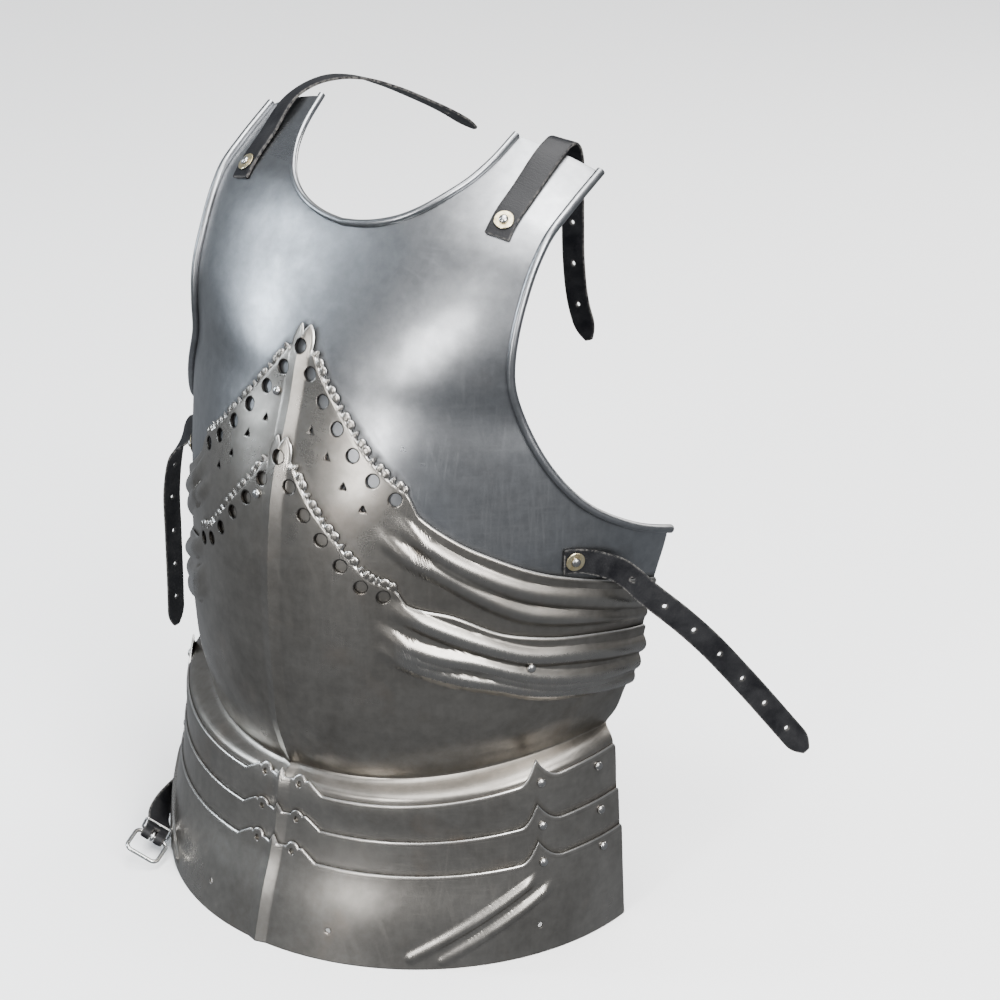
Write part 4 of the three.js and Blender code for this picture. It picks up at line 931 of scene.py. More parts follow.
def lame_distance(n, flat, foot):
    """The outline less the holes of the crest, and in the lowest lame less those near the rim."""
    length, height = flat.T
    lobe_x = np.abs(length) - as_length(CREST_LOBE_TURN)
    hole_y = height - LAME_HEIGHTS[n] - CREST_LOBE_RISE + CREST_HOLE_DROP
    holes = circle(lobe_x, hole_y, CREST_HOLE_RADIUS)
    if n == 2:
        tassets = [circle(length - as_length(t), height - TASSET_HEIGHT, TASSET_RADIUS)
                   for t in TASSET_HOLES]
        holes = np.minimum(holes, np.min(tassets, axis=0))
    ends = np.abs(length) - as_length(SIDE_END)
    outline = lame_outline(n, as_turn(length), height)
    return np.maximum.reduce([outline, -holes, ends, foot + 0.00001 - height])


def rib_relief(turn, height):
    """Oblique ribs, round on top: one less the square of the distance to a line on the flat sheet.
    A rib swells from its upper end and runs out at its lower one."""
    spots = flat_at(np.abs(turn), height)
    total = np.zeros(len(spots))
    for rib in SKIRT_RIBS:
        line = flat_route(rib, WAIST_HEIGHT, 0.008)
        gap, place = np.full(len(spots), 1.0), np.zeros(len(spots))
        for k, (a, b) in enumerate(zip(line[:-1], line[1:])):
            share = np.clip(((spots - a) @ (b - a)) / ((b - a) @ (b - a)), 0, 1)
            here = np.linalg.norm(spots - a - share[:, None] * (b - a), axis=1)
            place = np.where(here < gap, (k + share) / (len(line) - 1), place)
            gap = np.minimum(gap, here)
        swell = smooth(place / 0.14) * (1 - 0.3 * smooth((place - 0.7) / 0.3))
        rounded = np.clip(1 - (gap / SKIRT_RIB_HALF_WIDTH) ** 2, 0, 1) ** 1.2
        total += SKIRT_RIB_HEIGHT * swell * rounded
    return total


def lame(n):
    """One lame from its foot to its crest."""
    foot = LAME_HEIGHTS[n + 1] - LAME_OVERLAP if n < 2 else 0.0
    columns = mirrored_lines(
        as_length([0, 13, 34, CUSP_TURNS[-1] + 1, 90]),
        [0.0009, 0.0024, 0.0012 if n == 2 else 0.0015, 0.0026])
    turns = as_turn(columns)
    top = lame_top(n, turns) + 0.0015 + CREST_HEIGHT * smooth((15 - np.abs(turns)) / 5)
    heights = hanging_rows(top, foot + 0 * turns, 0.021, 0.001, 8 if n < 2 else 38)
    sheet = in_turns(cut_sheet(
        columns, heights, lambda spots: lame_distance(n, spots, foot),
        (BEVEL, DOME_REACH * 0.6), 0.00022))
    ribbed = lambda turn, height: keel(turn, height) + rib_relief(turn, height)
    relief = ribbed if n == 2 else keel
    return plate(
        f"fauld_lame_{n + 1}_dressed", sheet, on_skirt, LAME_OUTERS[n], relief,
        lambda turn, height: lame_outline(n, turn, height),
        None if n == 2 else lambda turn, height: lame_outline(n + 1, turn, height), dome=0.3)


lames = [lame(n) for n in range(3)]

# %% [markdown]
# Rivets hold the layers. A real one is a short steel pin with a domed head outside, hammered over
# inside. It is a lathe shape: one profile turned round the pin's axis. All rivets of a kind are
# computed at once, because the profile only has to be moved to each place.

# %% Rivets and washers
HEAD_RADIUS = 0.0034
HEAD_HEIGHT = 0.0024
TAIL_RADIUS = 0.0024
SEAT = 0.0003
WASHER_RADIUS = 0.0070
WASHER_THICKNESS = 0.0008
STRAP_LIFT = 0.0006
STRAP_THICKNESS = 0.0022
STRAP_WIDTH = 0.0185
WASHER_BASE = STRAP_LIFT + STRAP_THICKNESS + SEAT
STRAP_HEAD = WASHER_BASE + WASHER_THICKNESS


def lathe(profile, centre, axis, sides):
    """A profile of radius and height turned round an axis through a centre."""
    profile = np.asarray(profile, float)
    helper = np.array([0.0, 0.0, 1.0]) if abs(axis[2]) < 0.9 else np.array([1.0, 0.0, 0.0])
    side = unit(np.cross(axis, helper))
    other = np.cross(axis, side)
    angle = np.linspace(0, 2 * np.pi, sides, endpoint=False)
    ring = side * np.cos(angle)[:, None] + other * np.sin(angle)[:, None]
    points = centre + ring[None] * profile[:, :1, None] + axis * profile[:, 1:, None]
    rows = len(profile)
    index = np.arange(rows * sides).reshape(rows, sides)
    here, ahead = index[:-1], index[1:]
    quads = np.stack([here, np.roll(here, -1, 1), np.roll(ahead, -1, 1), ahead], -1).reshape(-1, 4)
    return points.reshape(-1, 3), np.zeros((0, 3), int), quads


def rivet_profile(low, high):
    """From the peened tail's middle out and back to the shank, up the shank, out under the head
    and over the dome, which is a quarter of an ellipse."""
    dome = [(HEAD_RADIUS * math.cos(a), high + 0.0004 + HEAD_HEIGHT * 0.85 * math.sin(a))
            for a in np.linspace(0, math.pi / 2 * 0.985, 8)]
    return [(0.00002, low - 0.0011), (TAIL_RADIUS * 0.7, low - 0.0009), (TAIL_RADIUS, low - 0.0002),
            (TAIL_RADIUS * 0.9, low), (0.0015, low), (0.0015, high), (HEAD_RADIUS * 0.94, high),
            (HEAD_RADIUS, high + 0.0002), *dome]


def rivet_shapes(place, point, outward, head, tail):
    """A rivet through the form at one turn and height. Its axis is square to the metal."""
    turn, height = place
    axis = facing(point, np.array(turn), np.array(height))
    centre = outward(np.array(turn), np.array(height), np.array((head + tail) / 2))
    half = (head - tail) / 2
    return lathe(rivet_profile(-half - 0.0006, half + SEAT), centre, axis, 20)


def fastening(name, shapes, nodes, slot="fastening_steel"):
    """Several turned or wire shapes as one piece that stands for their solids."""
    piece = make_mesh(name, *join_shapes(shapes))
    stand_for(piece, slot, *nodes)
    print(name, len(shapes), "shapes")
    return piece


LAME_RIVET_TURNS = [64.6, 82.4]
LAME_RIVET_DROPS = [0.0015, 0.007]
FLANK_TURN = 58.5
FLANK_HEIGHT = 0.391 * SHOULDER_HEIGHT
BESIDE_KEEL = -KEEL_TURN * 1.6
flank_head = LOWER_OUTER + LOWER_FLUTE_HEIGHT * 0.45
plackart_places = [
    ((BESIDE_KEEL, 0.714 * SHOULDER_HEIGHT), UPPER_OUTER, "rivet_upper_centre"),
    ((BESIDE_KEEL, 0.592 * SHOULDER_HEIGHT), LOWER_OUTER, "rivet_lower_centre"),
    ((FLANK_TURN, FLANK_HEIGHT), flank_head, "rivet_flank_left"),
    ((-FLANK_TURN, FLANK_HEIGHT), flank_head, "rivet_flank_right"),
]
plackart_rivets = fastening(
    "plackart_rivets",
    [rivet_shapes(place, torso_point, on_torso, head, -THICKNESS)
     for place, head, _ in plackart_places],
    [node for _, _, node in plackart_places])

fauld_shapes, fauld_nodes = [], []
for n, base in enumerate(LAME_HEIGHTS):
    for sign, side in ((-1, "right"), (1, "left")):
        for turn, drop, end in zip(LAME_RIVET_TURNS, LAME_RIVET_DROPS, ("front", "back")):
            height = base + LAME_SIDE_RISE * math.sin(math.radians(turn)) ** 2 - drop
            tail = FLANGE_OUTER - THICKNESS if n == 0 else LAME_OUTERS[n - 1] - THICKNESS
            fauld_shapes.append(rivet_shapes(
                (sign * turn, height), skirt_point, on_skirt, LAME_OUTERS[n], tail))
            fauld_nodes.append(f"rivet_lame_{n + 1}_{side}_{end}")
fauld_rivets = fastening("fauld_rivets", fauld_shapes, fauld_nodes)

SHOULDER_RIVET = (35.9, 0.942 * SHOULDER_HEIGHT)
SIDE_RIVET = (64.6, 0.5275 * SHOULDER_HEIGHT)
strap_spots = {"shoulder": SHOULDER_RIVET, "side": SIDE_RIVET}


def washer_profile(base):
    """A flat ring with a rounded outer edge, from its bore round and back."""
    r, t = WASHER_RADIUS, WASHER_THICKNESS
    return [(0.0019, base), (r - 0.0003, base), (r, base + 0.0003), (r - 0.0001, base + t * 0.7),
            (r - 0.0005, base + t), (0.0042, base + t * 1.05), (0.0019, base + t), (0.0019, base)]


washer_shapes, strap_rivet_shapes = [], []
for spot, (turn, height) in strap_spots.items():
    for sign in (1, -1):
        place = (sign * turn, height)
        axis = facing(torso_point, np.array(place[0]), np.array(height))
        centre = torso_point(np.array(place[0]), np.array(height))
        washer_shapes.append(lathe(washer_profile(WASHER_BASE), centre, axis, 40))
        strap_rivet_shapes.append(
            rivet_shapes(place, torso_point, on_torso, STRAP_HEAD, -THICKNESS))
strap_sides = [f"{spot}_{side}" for spot in strap_spots for side in ("left", "right")]
washers = fastening(
    "strap_washers", washer_shapes, [f"washer_{s}" for s in strap_sides], "washer_brass")
strap_rivets = fastening(
    "strap_rivets", strap_rivet_shapes, [f"rivet_{s}" for s in strap_sides])

# %% [markdown]
# The straps are plain black leather, about 18 mm wide. A strap is the same kind of sheet as a
# plate: cut flat in length and width, with its tip and holes, and then laid along a path in space
# instead of on a body. The path lies on the plate by the rivet and then runs free, and the width's
# direction turns slowly along it.

# %% Straps
STRAP_HOLE_RADIUS = 0.0017
STRAP_HOLE_PITCH = 0.030
STRAP_BEVEL = 0.0008
SHOULDER_STRAP_LENGTH = 0.245
SIDE_STRAP_LENGTH = 0.262
SHOULDER_TOP = 1.0155
STRAP_MIDDLE = STRAP_LIFT + STRAP_THICKNESS / 2
ACROSS_X = (1.0, 0.0, 0.0)
UP_Z = (0.0, 0.0, 1.0)


def shoulder_seats(sign):
    """Where a shoulder strap lies on the plate: turn, share of the height, and lift."""
    return [(sign * 35.9, 0.925, 0), (sign * 35.9, 0.942, 0), (sign * 36.1, 0.972, 0.0004),
            (sign * 36.3, SHOULDER_TOP, 0.0016)]


def heading(azimuth, slope):
    """A direction from its heading, from +X towards +Y, and its slope, both in degrees."""
    a, e = math.radians(azimuth), math.radians(slope)
    return np.array([math.cos(a) * math.cos(e), math.sin(a) * math.cos(e), math.sin(e)])


def strap_route(seats, free, length, start_width, end_width):
    """Seated places on the torso, then steps of stated share, heading and slope that use up the
    rest of the length. The widths turn from the plate's own to the end's."""
    turn, share, lift = np.array(seats).T
    height = share * SHOULDER_HEIGHT
    seated = on_torso(turn, height, STRAP_MIDDLE + lift)
    rest = length - np.linalg.norm(np.diff(seated, axis=0), axis=1).sum()
    steps = np.array([heading(a, e) * s * rest for s, a, e in free])
    points = np.vstack([seated, seated[-1] + np.cumsum(steps, axis=0)])
    tangent = np.vstack([seated[1] - seated[0], seated[2:] - seated[:-2], seated[-1] - seated[-2]])
    width = unit(np.cross(facing(torso_point, turn, height), tangent))
    width *= np.sign((width * np.array(start_width)).sum(-1, keepdims=True))
    turnover = smooth((np.arange(len(free)) + 1) / 3)[:, None]
    later = unit(width[-1] * (1 - turnover) + np.array(end_width) * turnover)
    return points, np.vstack([width, later])


def ribbon_frame(points, widths):
    """A function from length along the path to its point, its width direction and its face."""
    chord = np.linalg.norm(np.diff(points, axis=0), axis=1)
    key = np.concatenate([[0], np.cumsum(chord)])
    curve = table_curve(np.column_stack([key, points, widths]))

    def at(length):
        here = curve(length)
        tangent = unit(curve(length + 0.0002)[..., :3] - curve(length - 0.0002)[..., :3])
        across = here[..., 3:] - (here[..., 3:] * tangent).sum(-1, keepdims=True) * tangent
        across = unit(across)
        return here[..., :3], across, np.cross(across, tangent)

    return at, key[-1]


def strap_distance(flat, length, width, holes, slot=None):
    """A long rectangle with a tongue-shaped tip and round holes, and a slot where one is given."""
    along, across = flat.T
    tip = 0.016
    share = np.clip((along - length + tip) / tip, 0, 1)
    half = width / 2 * (1 - 0.72 * share**2)
    shape = np.maximum.reduce([np.abs(across) - half, -along, along - length])
    if len(holes):
        punched = np.min([circle(along - h, across, STRAP_HOLE_RADIUS) for h in holes], axis=0)
        shape = np.maximum(shape, -punched)
    if slot is not None:
        middle, half_length, half_width = slot
        opening = np.maximum(np.abs(along - middle) - half_length, np.abs(across) - half_width)
        shape = np.maximum(shape, -opening)
    return shape


def strap(name, points, widths, holes, node, slot=None, tip=True):
    """A strap of leather laid along a path: rounded faces, cut edges and holes."""
    at, length = ribbon_frame(points, widths)
    step = 0.0012
    reach = STRAP_WIDTH / 2 + 0.0006
    columns = np.linspace(-0.0003, length + 0.0003, int(length / step) + 2)
    rows = np.linspace(-reach, reach, 21)
    heights = np.broadcast_to(rows[:, None], (len(rows), len(columns)))
    cut_length = length if tip else length + 0.1
    distance = lambda flat: np.maximum(
        strap_distance(flat, cut_length, STRAP_WIDTH, holes, slot), flat[:, 0] - length)
    sheet = cut_sheet(columns, heights, distance, (STRAP_BEVEL,), 0.00028)

    def lay(along, across, offset):
        centre, side, face = at(along)
        return centre + side * across[..., None] + face * offset[..., None]

    def swell(along, across):
        return (STRAP_THICKNESS / 2) * (1 - 0.16 * (2 * across / STRAP_WIDTH) ** 4)

    skin, triangles, quads, edge = two_faced(
        sheet, lay, swell, lambda a, b: -swell(a, b), STRAP_BEVEL, 0.0005)
    piece = make_mesh(name, skin, triangles[:, ::-1], quads[:, ::-1], sharp_degrees=50)
    add_values(piece, "edge_distance", edge)
    add_values(piece, "strap_length", np.tile(sheet[0][:, 0], 2))
    stand_for(piece, "strap_leather", node)
    print(name, round(length * 1000), "mm long")
    return piece


def hole_places(length, count):
    """Adjusting holes at a steady pitch, counted back from the tip."""
    return [length - STRAP_HOLE_PITCH * (k + 0.9) for k in range(count)]


STRAPS = [
    ("shoulder_strap_left", SHOULDER_STRAP_LENGTH, 4, shoulder_seats(1), ACROSS_X, ACROSS_X,
     [(0.04, 90, 22), (0.04, 90, -8), (0.04, 90, -38), (0.04, 90, -66), (0.12, 90, -86),
      (0.18, 0, -89), (0.18, 0, -88), (0.18, 0, -82), (0.18, 0, -70)]),
    ("shoulder_strap_right", SHOULDER_STRAP_LENGTH, 3, shoulder_seats(-1), ACROSS_X, ACROSS_X,
     [(0.10, 78, 18), (0.12, 72, 6), (0.12, 67, -8), (0.16, 63, -20), (0.17, 60, -26),
      (0.17, 59, -29), (0.16, 58, -34)]),
    ("side_strap_left", SIDE_STRAP_LENGTH, 7,
     [(62.1, 0.5275, 0), (64.6, 0.5275, 0), (67.2, 0.525, 0.0003), (70.5, 0.520, 0.0032),
      (74.0, 0.512, 0.0066)],
     UP_Z, (0.38, 0.58, 0.54),
     [(0.14, 28, -38), (0.14, 45, -42), (0.14, 50, -46), (0.14, 58, -50), (0.14, 58, -51),
      (0.14, 55, -52), (0.16, 50, -52)]),
    ("side_strap_right", SIDE_STRAP_LENGTH, 5,
     [(-62.1, 0.5275, 0), (-64.6, 0.5275, 0), (-67.2, 0.528, 0.0003), (-70.5, 0.5285, 0.0032),
      (-74.0, 0.529, 0.0066)],
     UP_Z, (0.0, 1.0, 0.0),
     [(0.14, 150, -28), (0.14, 165, -52), (0.14, 175, -76), (0.20, 180, -88), (0.19, 180, -89),
      (0.19, 180, -88)]),
]
leather_pieces = []
for name, length, count, seats, start_width, end_width, free in STRAPS:
    route, widths = strap_route(seats, free, length, start_width, end_width)
    leather_pieces.append(strap(f"{name}_leather", route, widths, hole_places(length, count), name))

# %% [markdown]
# A small buckle hangs forward off the rim at the wearer's right. Its strap goes over the near bar
# of the frame and back under itself, and a wire keeper holds the two layers together. The frame,
# the keeper and the tongue are round wire, so each is a circle carried along a path.

# %% Buckle
BUCKLE_BAR = np.array([-0.1466, 0.0444, 0.015])
BUCKLE_RUN = heading(-70.4, -7.2)
lean_direction = np.array([-0.8, -0.37, 0.45])
BUCKLE_ACROSS = unit(lean_direction - (lean_direction @ BUCKLE_RUN) * BUCKLE_RUN)
BUCKLE_FACE = np.cross(BUCKLE_RUN, BUCKLE_ACROSS)
BUCKLE_WIDTH = 0.030
BUCKLE_LENGTH = 0.027
BUCKLE_WIRE = 0.0032
BUCKLE_CORNER = 0.005
KEEPER_WIRE = 0.002
TONGUE_WIRE = 0.0022
BUCKLE_CLEARANCE = 0.0005
STRAP_RETURN = 0.017
LOOP_RADIUS = BUCKLE_WIRE / 2 + BUCKLE_CLEARANCE + STRAP_THICKNESS / 2
APPROACH = [(-0.0124, 0.0019, 0.0008), (-0.006, LOOP_RADIUS, 0.0)]


def by_buckle(run, face, across):
    """A point from its measures along the buckle's run, face and across."""
    return (BUCKLE_BAR + np.multiply.outer(run, BUCKLE_RUN) + np.multiply.outer(face, BUCKLE_FACE)
            + np.multiply.outer(across, BUCKLE_ACROSS))


seat_turns = np.array([-67.0, -64.6, -61.5])
seat_lift = LAME_OUTERS[2] + STRAP_MIDDLE + np.array([0, 0, 0.0003])
seats = on_skirt(seat_turns, np.full(3, TASSET_HEIGHT), seat_lift)
hanging = np.array([
    (-0.1714, 0.0892, 0.0222), (-0.1659, 0.0769, 0.0216), (-0.1586, 0.0642, 0.0202)])
loop_angles = np.radians([0, 30, 60, 90, 120, 150, 180])
loop = by_buckle(
    LOOP_RADIUS * np.sin(loop_angles), -LOOP_RADIUS * np.cos(loop_angles), 0 * loop_angles)
over = np.array([by_buckle(r, -f, a) for r, f, a in APPROACH])
under = np.array([by_buckle(r, f, a) for r, f, a in APPROACH[::-1]])
buckle_route = np.vstack(
    [seats, hanging, over, loop, under, by_buckle(-STRAP_RETURN, 0.0029, 0.0018)])
twist = np.array([0, 0, 0, 0.2, 0.5, 0.8] + [1] * (len(buckle_route) - 6))[:, None]
buckle_widths = unit(np.array(UP_Z) * (1 - twist) + BUCKLE_ACROSS * twist)
chords = np.concatenate([[0], np.cumsum(np.linalg.norm(np.diff(buckle_route, axis=0), axis=1))])
bar_length = chords[8 + 3]
buckle_strap = strap(
    "buckle_strap_leather", buckle_route, buckle_widths, [], "buckle_strap",
    slot=(bar_length, 0.0098, TONGUE_WIRE / 2 + BUCKLE_CLEARANCE + 0.0003), tip=False)
leather_pieces.append(buckle_strap)


def rounded_ring(middle, half_a, half_b, corner, steps):
    """Two measures of a rectangle with quarter circles at its corners."""
    quarter = np.linspace(0, np.pi / 2, steps)
    angle = (np.arange(4)[:, None] * np.pi / 2 + quarter).ravel()
    sign_a = np.repeat([1, -1, -1, 1], steps)
    sign_b = np.repeat([1, 1, -1, -1], steps)
    return (middle[0] + sign_a * (half_a - corner) + corner * np.cos(angle),
            middle[1] + sign_b * (half_b - corner) + corner * np.sin(angle))


half_run = (BUCKLE_LENGTH - BUCKLE_WIRE) / 2
half_across = (BUCKLE_WIDTH - BUCKLE_WIRE) / 2
run, across = rounded_ring((half_run, 0), half_run, half_across, BUCKLE_CORNER, 9)
frame_ring = by_buckle(run, 0 * run, across)
face_rows = np.tile(BUCKLE_FACE, (len(frame_ring), 1))
buckle_frame = fastening(
    "buckle_frame_wire", [tube(frame_ring, face_rows, BUCKLE_WIRE / 2, 14, closed=True)],
    ["buckle_frame"])

keeper_middle = (APPROACH[0][0] + APPROACH[1][0]) / 2
keeper_layers = (APPROACH[0][1] + APPROACH[1][1]) / 2 + STRAP_THICKNESS / 2
face_measure, across = rounded_ring(
    (0, APPROACH[0][2] / 2), keeper_layers + BUCKLE_CLEARANCE * 2 + KEEPER_WIRE / 2,
    STRAP_WIDTH / 2 + BUCKLE_CLEARANCE * 2 + KEEPER_WIRE / 2, KEEPER_WIRE, 7)
keeper_ring = by_buckle(np.full(len(across), keeper_middle), face_measure, across)
run_rows = np.tile(BUCKLE_RUN, (len(keeper_ring), 1))
buckle_keeper = fastening(
    "buckle_keeper_wire", [tube(keeper_ring, run_rows, KEEPER_WIRE / 2, 12, closed=True)],
    ["buckle_keeper"])

eye_radius = BUCKLE_WIRE / 2 + BUCKLE_CLEARANCE + TONGUE_WIRE / 2
eye_angle = np.linspace(0, 2 * np.pi, 28, endpoint=False)
eye = by_buckle(eye_radius * np.sin(eye_angle), eye_radius * np.cos(eye_angle), 0 * eye_angle)
pin_rows = [(0.0003, eye_radius + 0.0002), (-0.0035, 0.0066), (-0.008, 0.0084),
            (-BUCKLE_LENGTH + BUCKLE_WIRE, 0.0088)]
pin = smooth_route([by_buckle(r, f, 0.0) for r, f in pin_rows], 0.0012)
across_rows = lambda count: np.tile(BUCKLE_ACROSS, (count, 1))
buckle_tongue = fastening(
    "buckle_tongue_wire",
    [tube(eye, across_rows(len(eye)), TONGUE_WIRE / 2, 12, closed=True),
     tube(pin, across_rows(len(pin)), TONGUE_WIRE / 2, 12)], ["buckle_tongue"])

tasset_place = (-64.6, TASSET_HEIGHT)
strap_top = LAME_OUTERS[2] + STRAP_LIFT + STRAP_THICKNESS
buckle_rivet = fastening(
    "buckle_rivet",
    [rivet_shapes(tasset_place, skirt_point, on_skirt, strap_top, LAME_OUTERS[2] - THICKNESS)],
    ["rivet_buckle"])
print("buckle lowest at", round(float(frame_ring[:, 2].min() - BUCKLE_WIRE / 2) * 1000, 2), "mm")

# %% [markdown]
# The steel is satin to polished and has been handled. Three effects make it: clouded patches in
# colour and roughness, faint brushing, and the worked edge with painted light: a bright band at the
# cut that is partly a painted highlight, a painted shadow round the holes, and painted shade where
# another plate covers it. Each effect is a node group with its own values in each steel, so that a
# plate, a rivet and a wire can share them.

# %% Node groups for metal and leather
FLOAT = "NodeSocketFloat"
VECTOR = "NodeSocketVector"
# The painted shadow round a hole runs from the first to the second of these distances from it
HOLE_RIM_SHADE = (0.0011, 0.0002)
# The width of the bright band at the cut: the filed edge, partly a painted highlight
EDGE_HIGHLIGHT_WIDTH = 0.0010


def new_group(name, inputs, outputs):
    """An empty shader group with its sockets and its two end nodes."""
    group = bpy.data.node_groups.new(name, "ShaderNodeTree")
    for label, kind, value in inputs:
        socket = group.interface.new_socket(label, in_out="INPUT", socket_type=kind)
        if value is not None:
            socket.default_value = value
    for label in outputs:
        group.interface.new_socket(label, in_out="OUTPUT", socket_type=FLOAT)
    start = group.nodes.new("NodeGroupInput")
    end = group.nodes.new("NodeGroupOutput")
    return group, start, end


def put_out(group, end, values):
    """Each value linked to the group's output of its name."""
    for label, value in values.items():
        group.links.new(value, end.inputs[label])


def add(tree, kind, values=None, **settings):
    """A node with its settings, and its inputs set by name or number."""
    node = tree.nodes.new(kind)
    for key, value in settings.items():
        setattr(node, key, value)
    for key, value in (values or {}).items():
        node.inputs[key].default_value = value
    return node


def attribute(tree, name):
    """A number that the mesh carries."""
    return add(tree, "ShaderNodeAttribute", attribute_name=name).outputs["Fac"]


def math_node(tree, operation, a, b=None, clamp=False):
    """One sum. a and b are numbers or output sockets."""
    node = add(tree, "ShaderNodeMath", operation=operation, use_clamp=clamp)
    for slot_number, value in enumerate((a, b)):
        if value is None:
            continue
        if isinstance(value, (int, float)):
            node.inputs[slot_number].default_value = value
        else:
            tree.links.new(value, node.inputs[slot_number])
    return node.outputs[0]


def times(tree, a, b):
    """A product of two numbers or output sockets."""
    return math_node(tree, "MULTIPLY", a, b)


def ramp(tree, source, low, high, start=0.0, end=1.0):
    """A value moved from one range to another, and held at its ends."""
    node = add(tree, "ShaderNodeMapRange", {1: low, 2: high, 3: start, 4: end}, clamp=True)
    tree.links.new(source, node.inputs[0])
    return node.outputs[0]


def noise(tree, vector, scale, detail=4.0, roughness=0.55, distortion=0.0):
    """Cloudy noise on a vector."""
    node = add(tree, "ShaderNodeTexNoise", {
        "Scale": scale, "Detail": detail, "Roughness": roughness, "Distortion": distortion})
    tree.links.new(vector, node.inputs["Vector"])
    return node.outputs["Fac"]


def mix_colour(tree, factor, a, b, blend="MIX"):
    """Two colours mixed. Each is a tuple or an output socket, and so is the factor."""
    node = add(tree, "ShaderNodeMix", data_type="RGBA", blend_type=blend)
    for key, value in ((0, factor), (6, a), (7, b)):
        if isinstance(value, (int, float, tuple)):
            node.inputs[key].default_value = value
        else:
            tree.links.new(value, node.inputs[key])
    return node.outputs[2]


def bump(tree, height, distance, strength=1.0, under=None):
    """A normal bent by a height, on top of another normal where one is given."""
    node = add(tree, "ShaderNodeBump", {"Strength": strength, "Distance": distance})
    tree.links.new(height, node.inputs["Height"])
    if under is not None:
        tree.links.new(under, node.inputs["Normal"])
    return node.outputs[0]


def build_patina():
    """Clouds in colour and roughness: wide stains, finer mottling and sparse rust."""
    group, start, end = new_group(
        "Steel patina", [("Vector", VECTOR, None), ("Rust", FLOAT, 0.3)],
        ["Stain", "Mottle", "Rust"])
    place = start.outputs["Vector"]
    spots = noise(group, place, 30.0, 3.0, 0.5, 0.4)
    put_out(group, end, {
        "Stain": noise(group, place, 9.0, 5.0, 0.6, 0.6),
        "Mottle": noise(group, place, 120.0, 5.0, 0.65),
        "Rust": times(group, ramp(group, spots, 0.58, 0.80), start.outputs["Rust"]),
    })
    return group


# Each direction of the brushing: its turn, and the scale along each axis
BRUSHING = [(0.4, (900.0, 14.0, 30.0)), (1.9, (30.0, 800.0, 16.0)), (2.7, (20.0, 36.0, 900.0))]


def build_scratches():
    """Faint brushing and handling marks: very long noise cells in three directions."""
    group, start, end = new_group("Scratches", [("Vector", VECTOR, None)], ["Scratch"])
    total = None
    for turn, stretch in BRUSHING:
        mapping = add(group, "ShaderNodeMapping", {
            "Rotation": (turn, turn * 0.6, turn * 1.3), "Scale": stretch})
        group.links.new(start.outputs["Vector"], mapping.inputs["Vector"])
        lines = ramp(group, noise(group, mapping.outputs[0], 1.0, 2.0, 0.5), 0.52, 0.74)
        total = lines if total is None else math_node(group, "MAXIMUM", total, lines)
    put_out(group, end, {"Scratch": total})
    return group


def build_edge_work_and_painted_light():
    """From the distance to the cut edge: a bright band, the filed edge and partly a painted
    highlight, and a chased line set in from it. From the distance to the plate above: painted shade
    near its edge, and under it where it shows through holes. From the relief and the holes: the
    polished crests, lightened as a painted highlight, and a painted shadow round each hole."""
    group, start, end = new_group(
        "Edge work and painted light",
        [("Line at", FLOAT, 0.0022), ("Line width", FLOAT, 0.0006), ("Painted shade width", FLOAT, 0.004)],
        ["Bright", "Groove", "Painted shade", "Crest polish and highlight", "Hole rim shade"])
    edge = attribute(group, "edge_distance")
    nearness = attribute(group, "hole_nearness")
    gap = math_node(
        group, "ABSOLUTE", math_node(group, "SUBTRACT", edge, start.outputs["Line at"]))
    share = math_node(group, "DIVIDE", gap, start.outputs["Line width"])
    # Painted shade: dark near the edge of the plate that lies over this one, and under that plate,
    # darkest deep beneath it where it shows through holes
    cover = attribute(group, "cover_distance")
    reach = math_node(
        group, "DIVIDE", math_node(group, "ABSOLUTE", cover), start.outputs["Painted shade width"])
    near = math_node(group, "SUBTRACT", 1.0, reach, clamp=True)
    under = math_node(group, "LESS_THAN", cover, 0.0)
    hidden = times(group, ramp(group, cover, -0.017, -0.012, 1.0, 0.3), under)
    put_out(group, end, {
        "Bright": ramp(group, edge, 0.0, EDGE_HIGHLIGHT_WIDTH, 1.0, 0.0),
        "Groove": math_node(group, "SUBTRACT", 1.0, share, clamp=True),
        "Painted shade": math_node(group, "MAXIMUM", near, hidden),
        "Crest polish and highlight": ramp(group, attribute(group, "crest"), 0.60, 1.0),
        "Hole rim shade": ramp(group, nearness, *(NEAR_HOLE - away for away in HOLE_RIM_SHADE)),
    })
    return group


patina_group = build_patina()
scratch_group = build_scratches()
edge_group = build_edge_work_and_painted_light()
print("node groups:", [g.name for g in bpy.data.node_groups])

# %% [markdown]
# A steel takes its values from the three groups. Base colour runs from a dark grey to a light one,
# cool on the chest and warm below, and roughness from polished to satin. One bump is the hammer's
# slow unevenness, which bends the reflections, and a very small one is the grain. Metals have no
# diffuse colour, so most contrast comes from what they reflect; the rest is the painted highlights
# and painted shade that the edge work adds to the colour.

# %% Steel materials
CHASED_LINE_AT = 0.0026
# What the edge work and the painted light do to the colour: its mask, its strength and its tint.
# The crests and the band at the cut are lightened, partly as painted highlights, and each hole gets
# a painted shadow round it
EDGE_TINTS = [
    ("Crest polish and highlight", 0.40, (0.46, 0.45, 0.43, 1.0)),
    ("Bright", 0.55, (0.72, 0.72, 0.71, 1.0)),
    ("Groove", 0.15, (0.06, 0.056, 0.052, 1.0)),
    ("Hole rim shade", 0.85, (0.02, 0.019, 0.018, 1.0)),
]
# The colour of the painted shade where one plate lies over another
PAINTED_SHADE_COLOUR = (0.022, 0.020, 0.018, 1.0)
RUST_COLOUR = (0.26, 0.17, 0.11, 1.0)


def new_material(name, metallic=0.0):
    """A material, its tree, its shader and the object coordinates."""
    material = bpy.data.materials.new(name)
    material.use_nodes = True
    tree = material.node_tree
    shader = tree.nodes["Principled BSDF"]
    shader.inputs["Metallic"].default_value = metallic
    return material, tree, shader, add(tree, "ShaderNodeTexCoord").outputs["Object"]


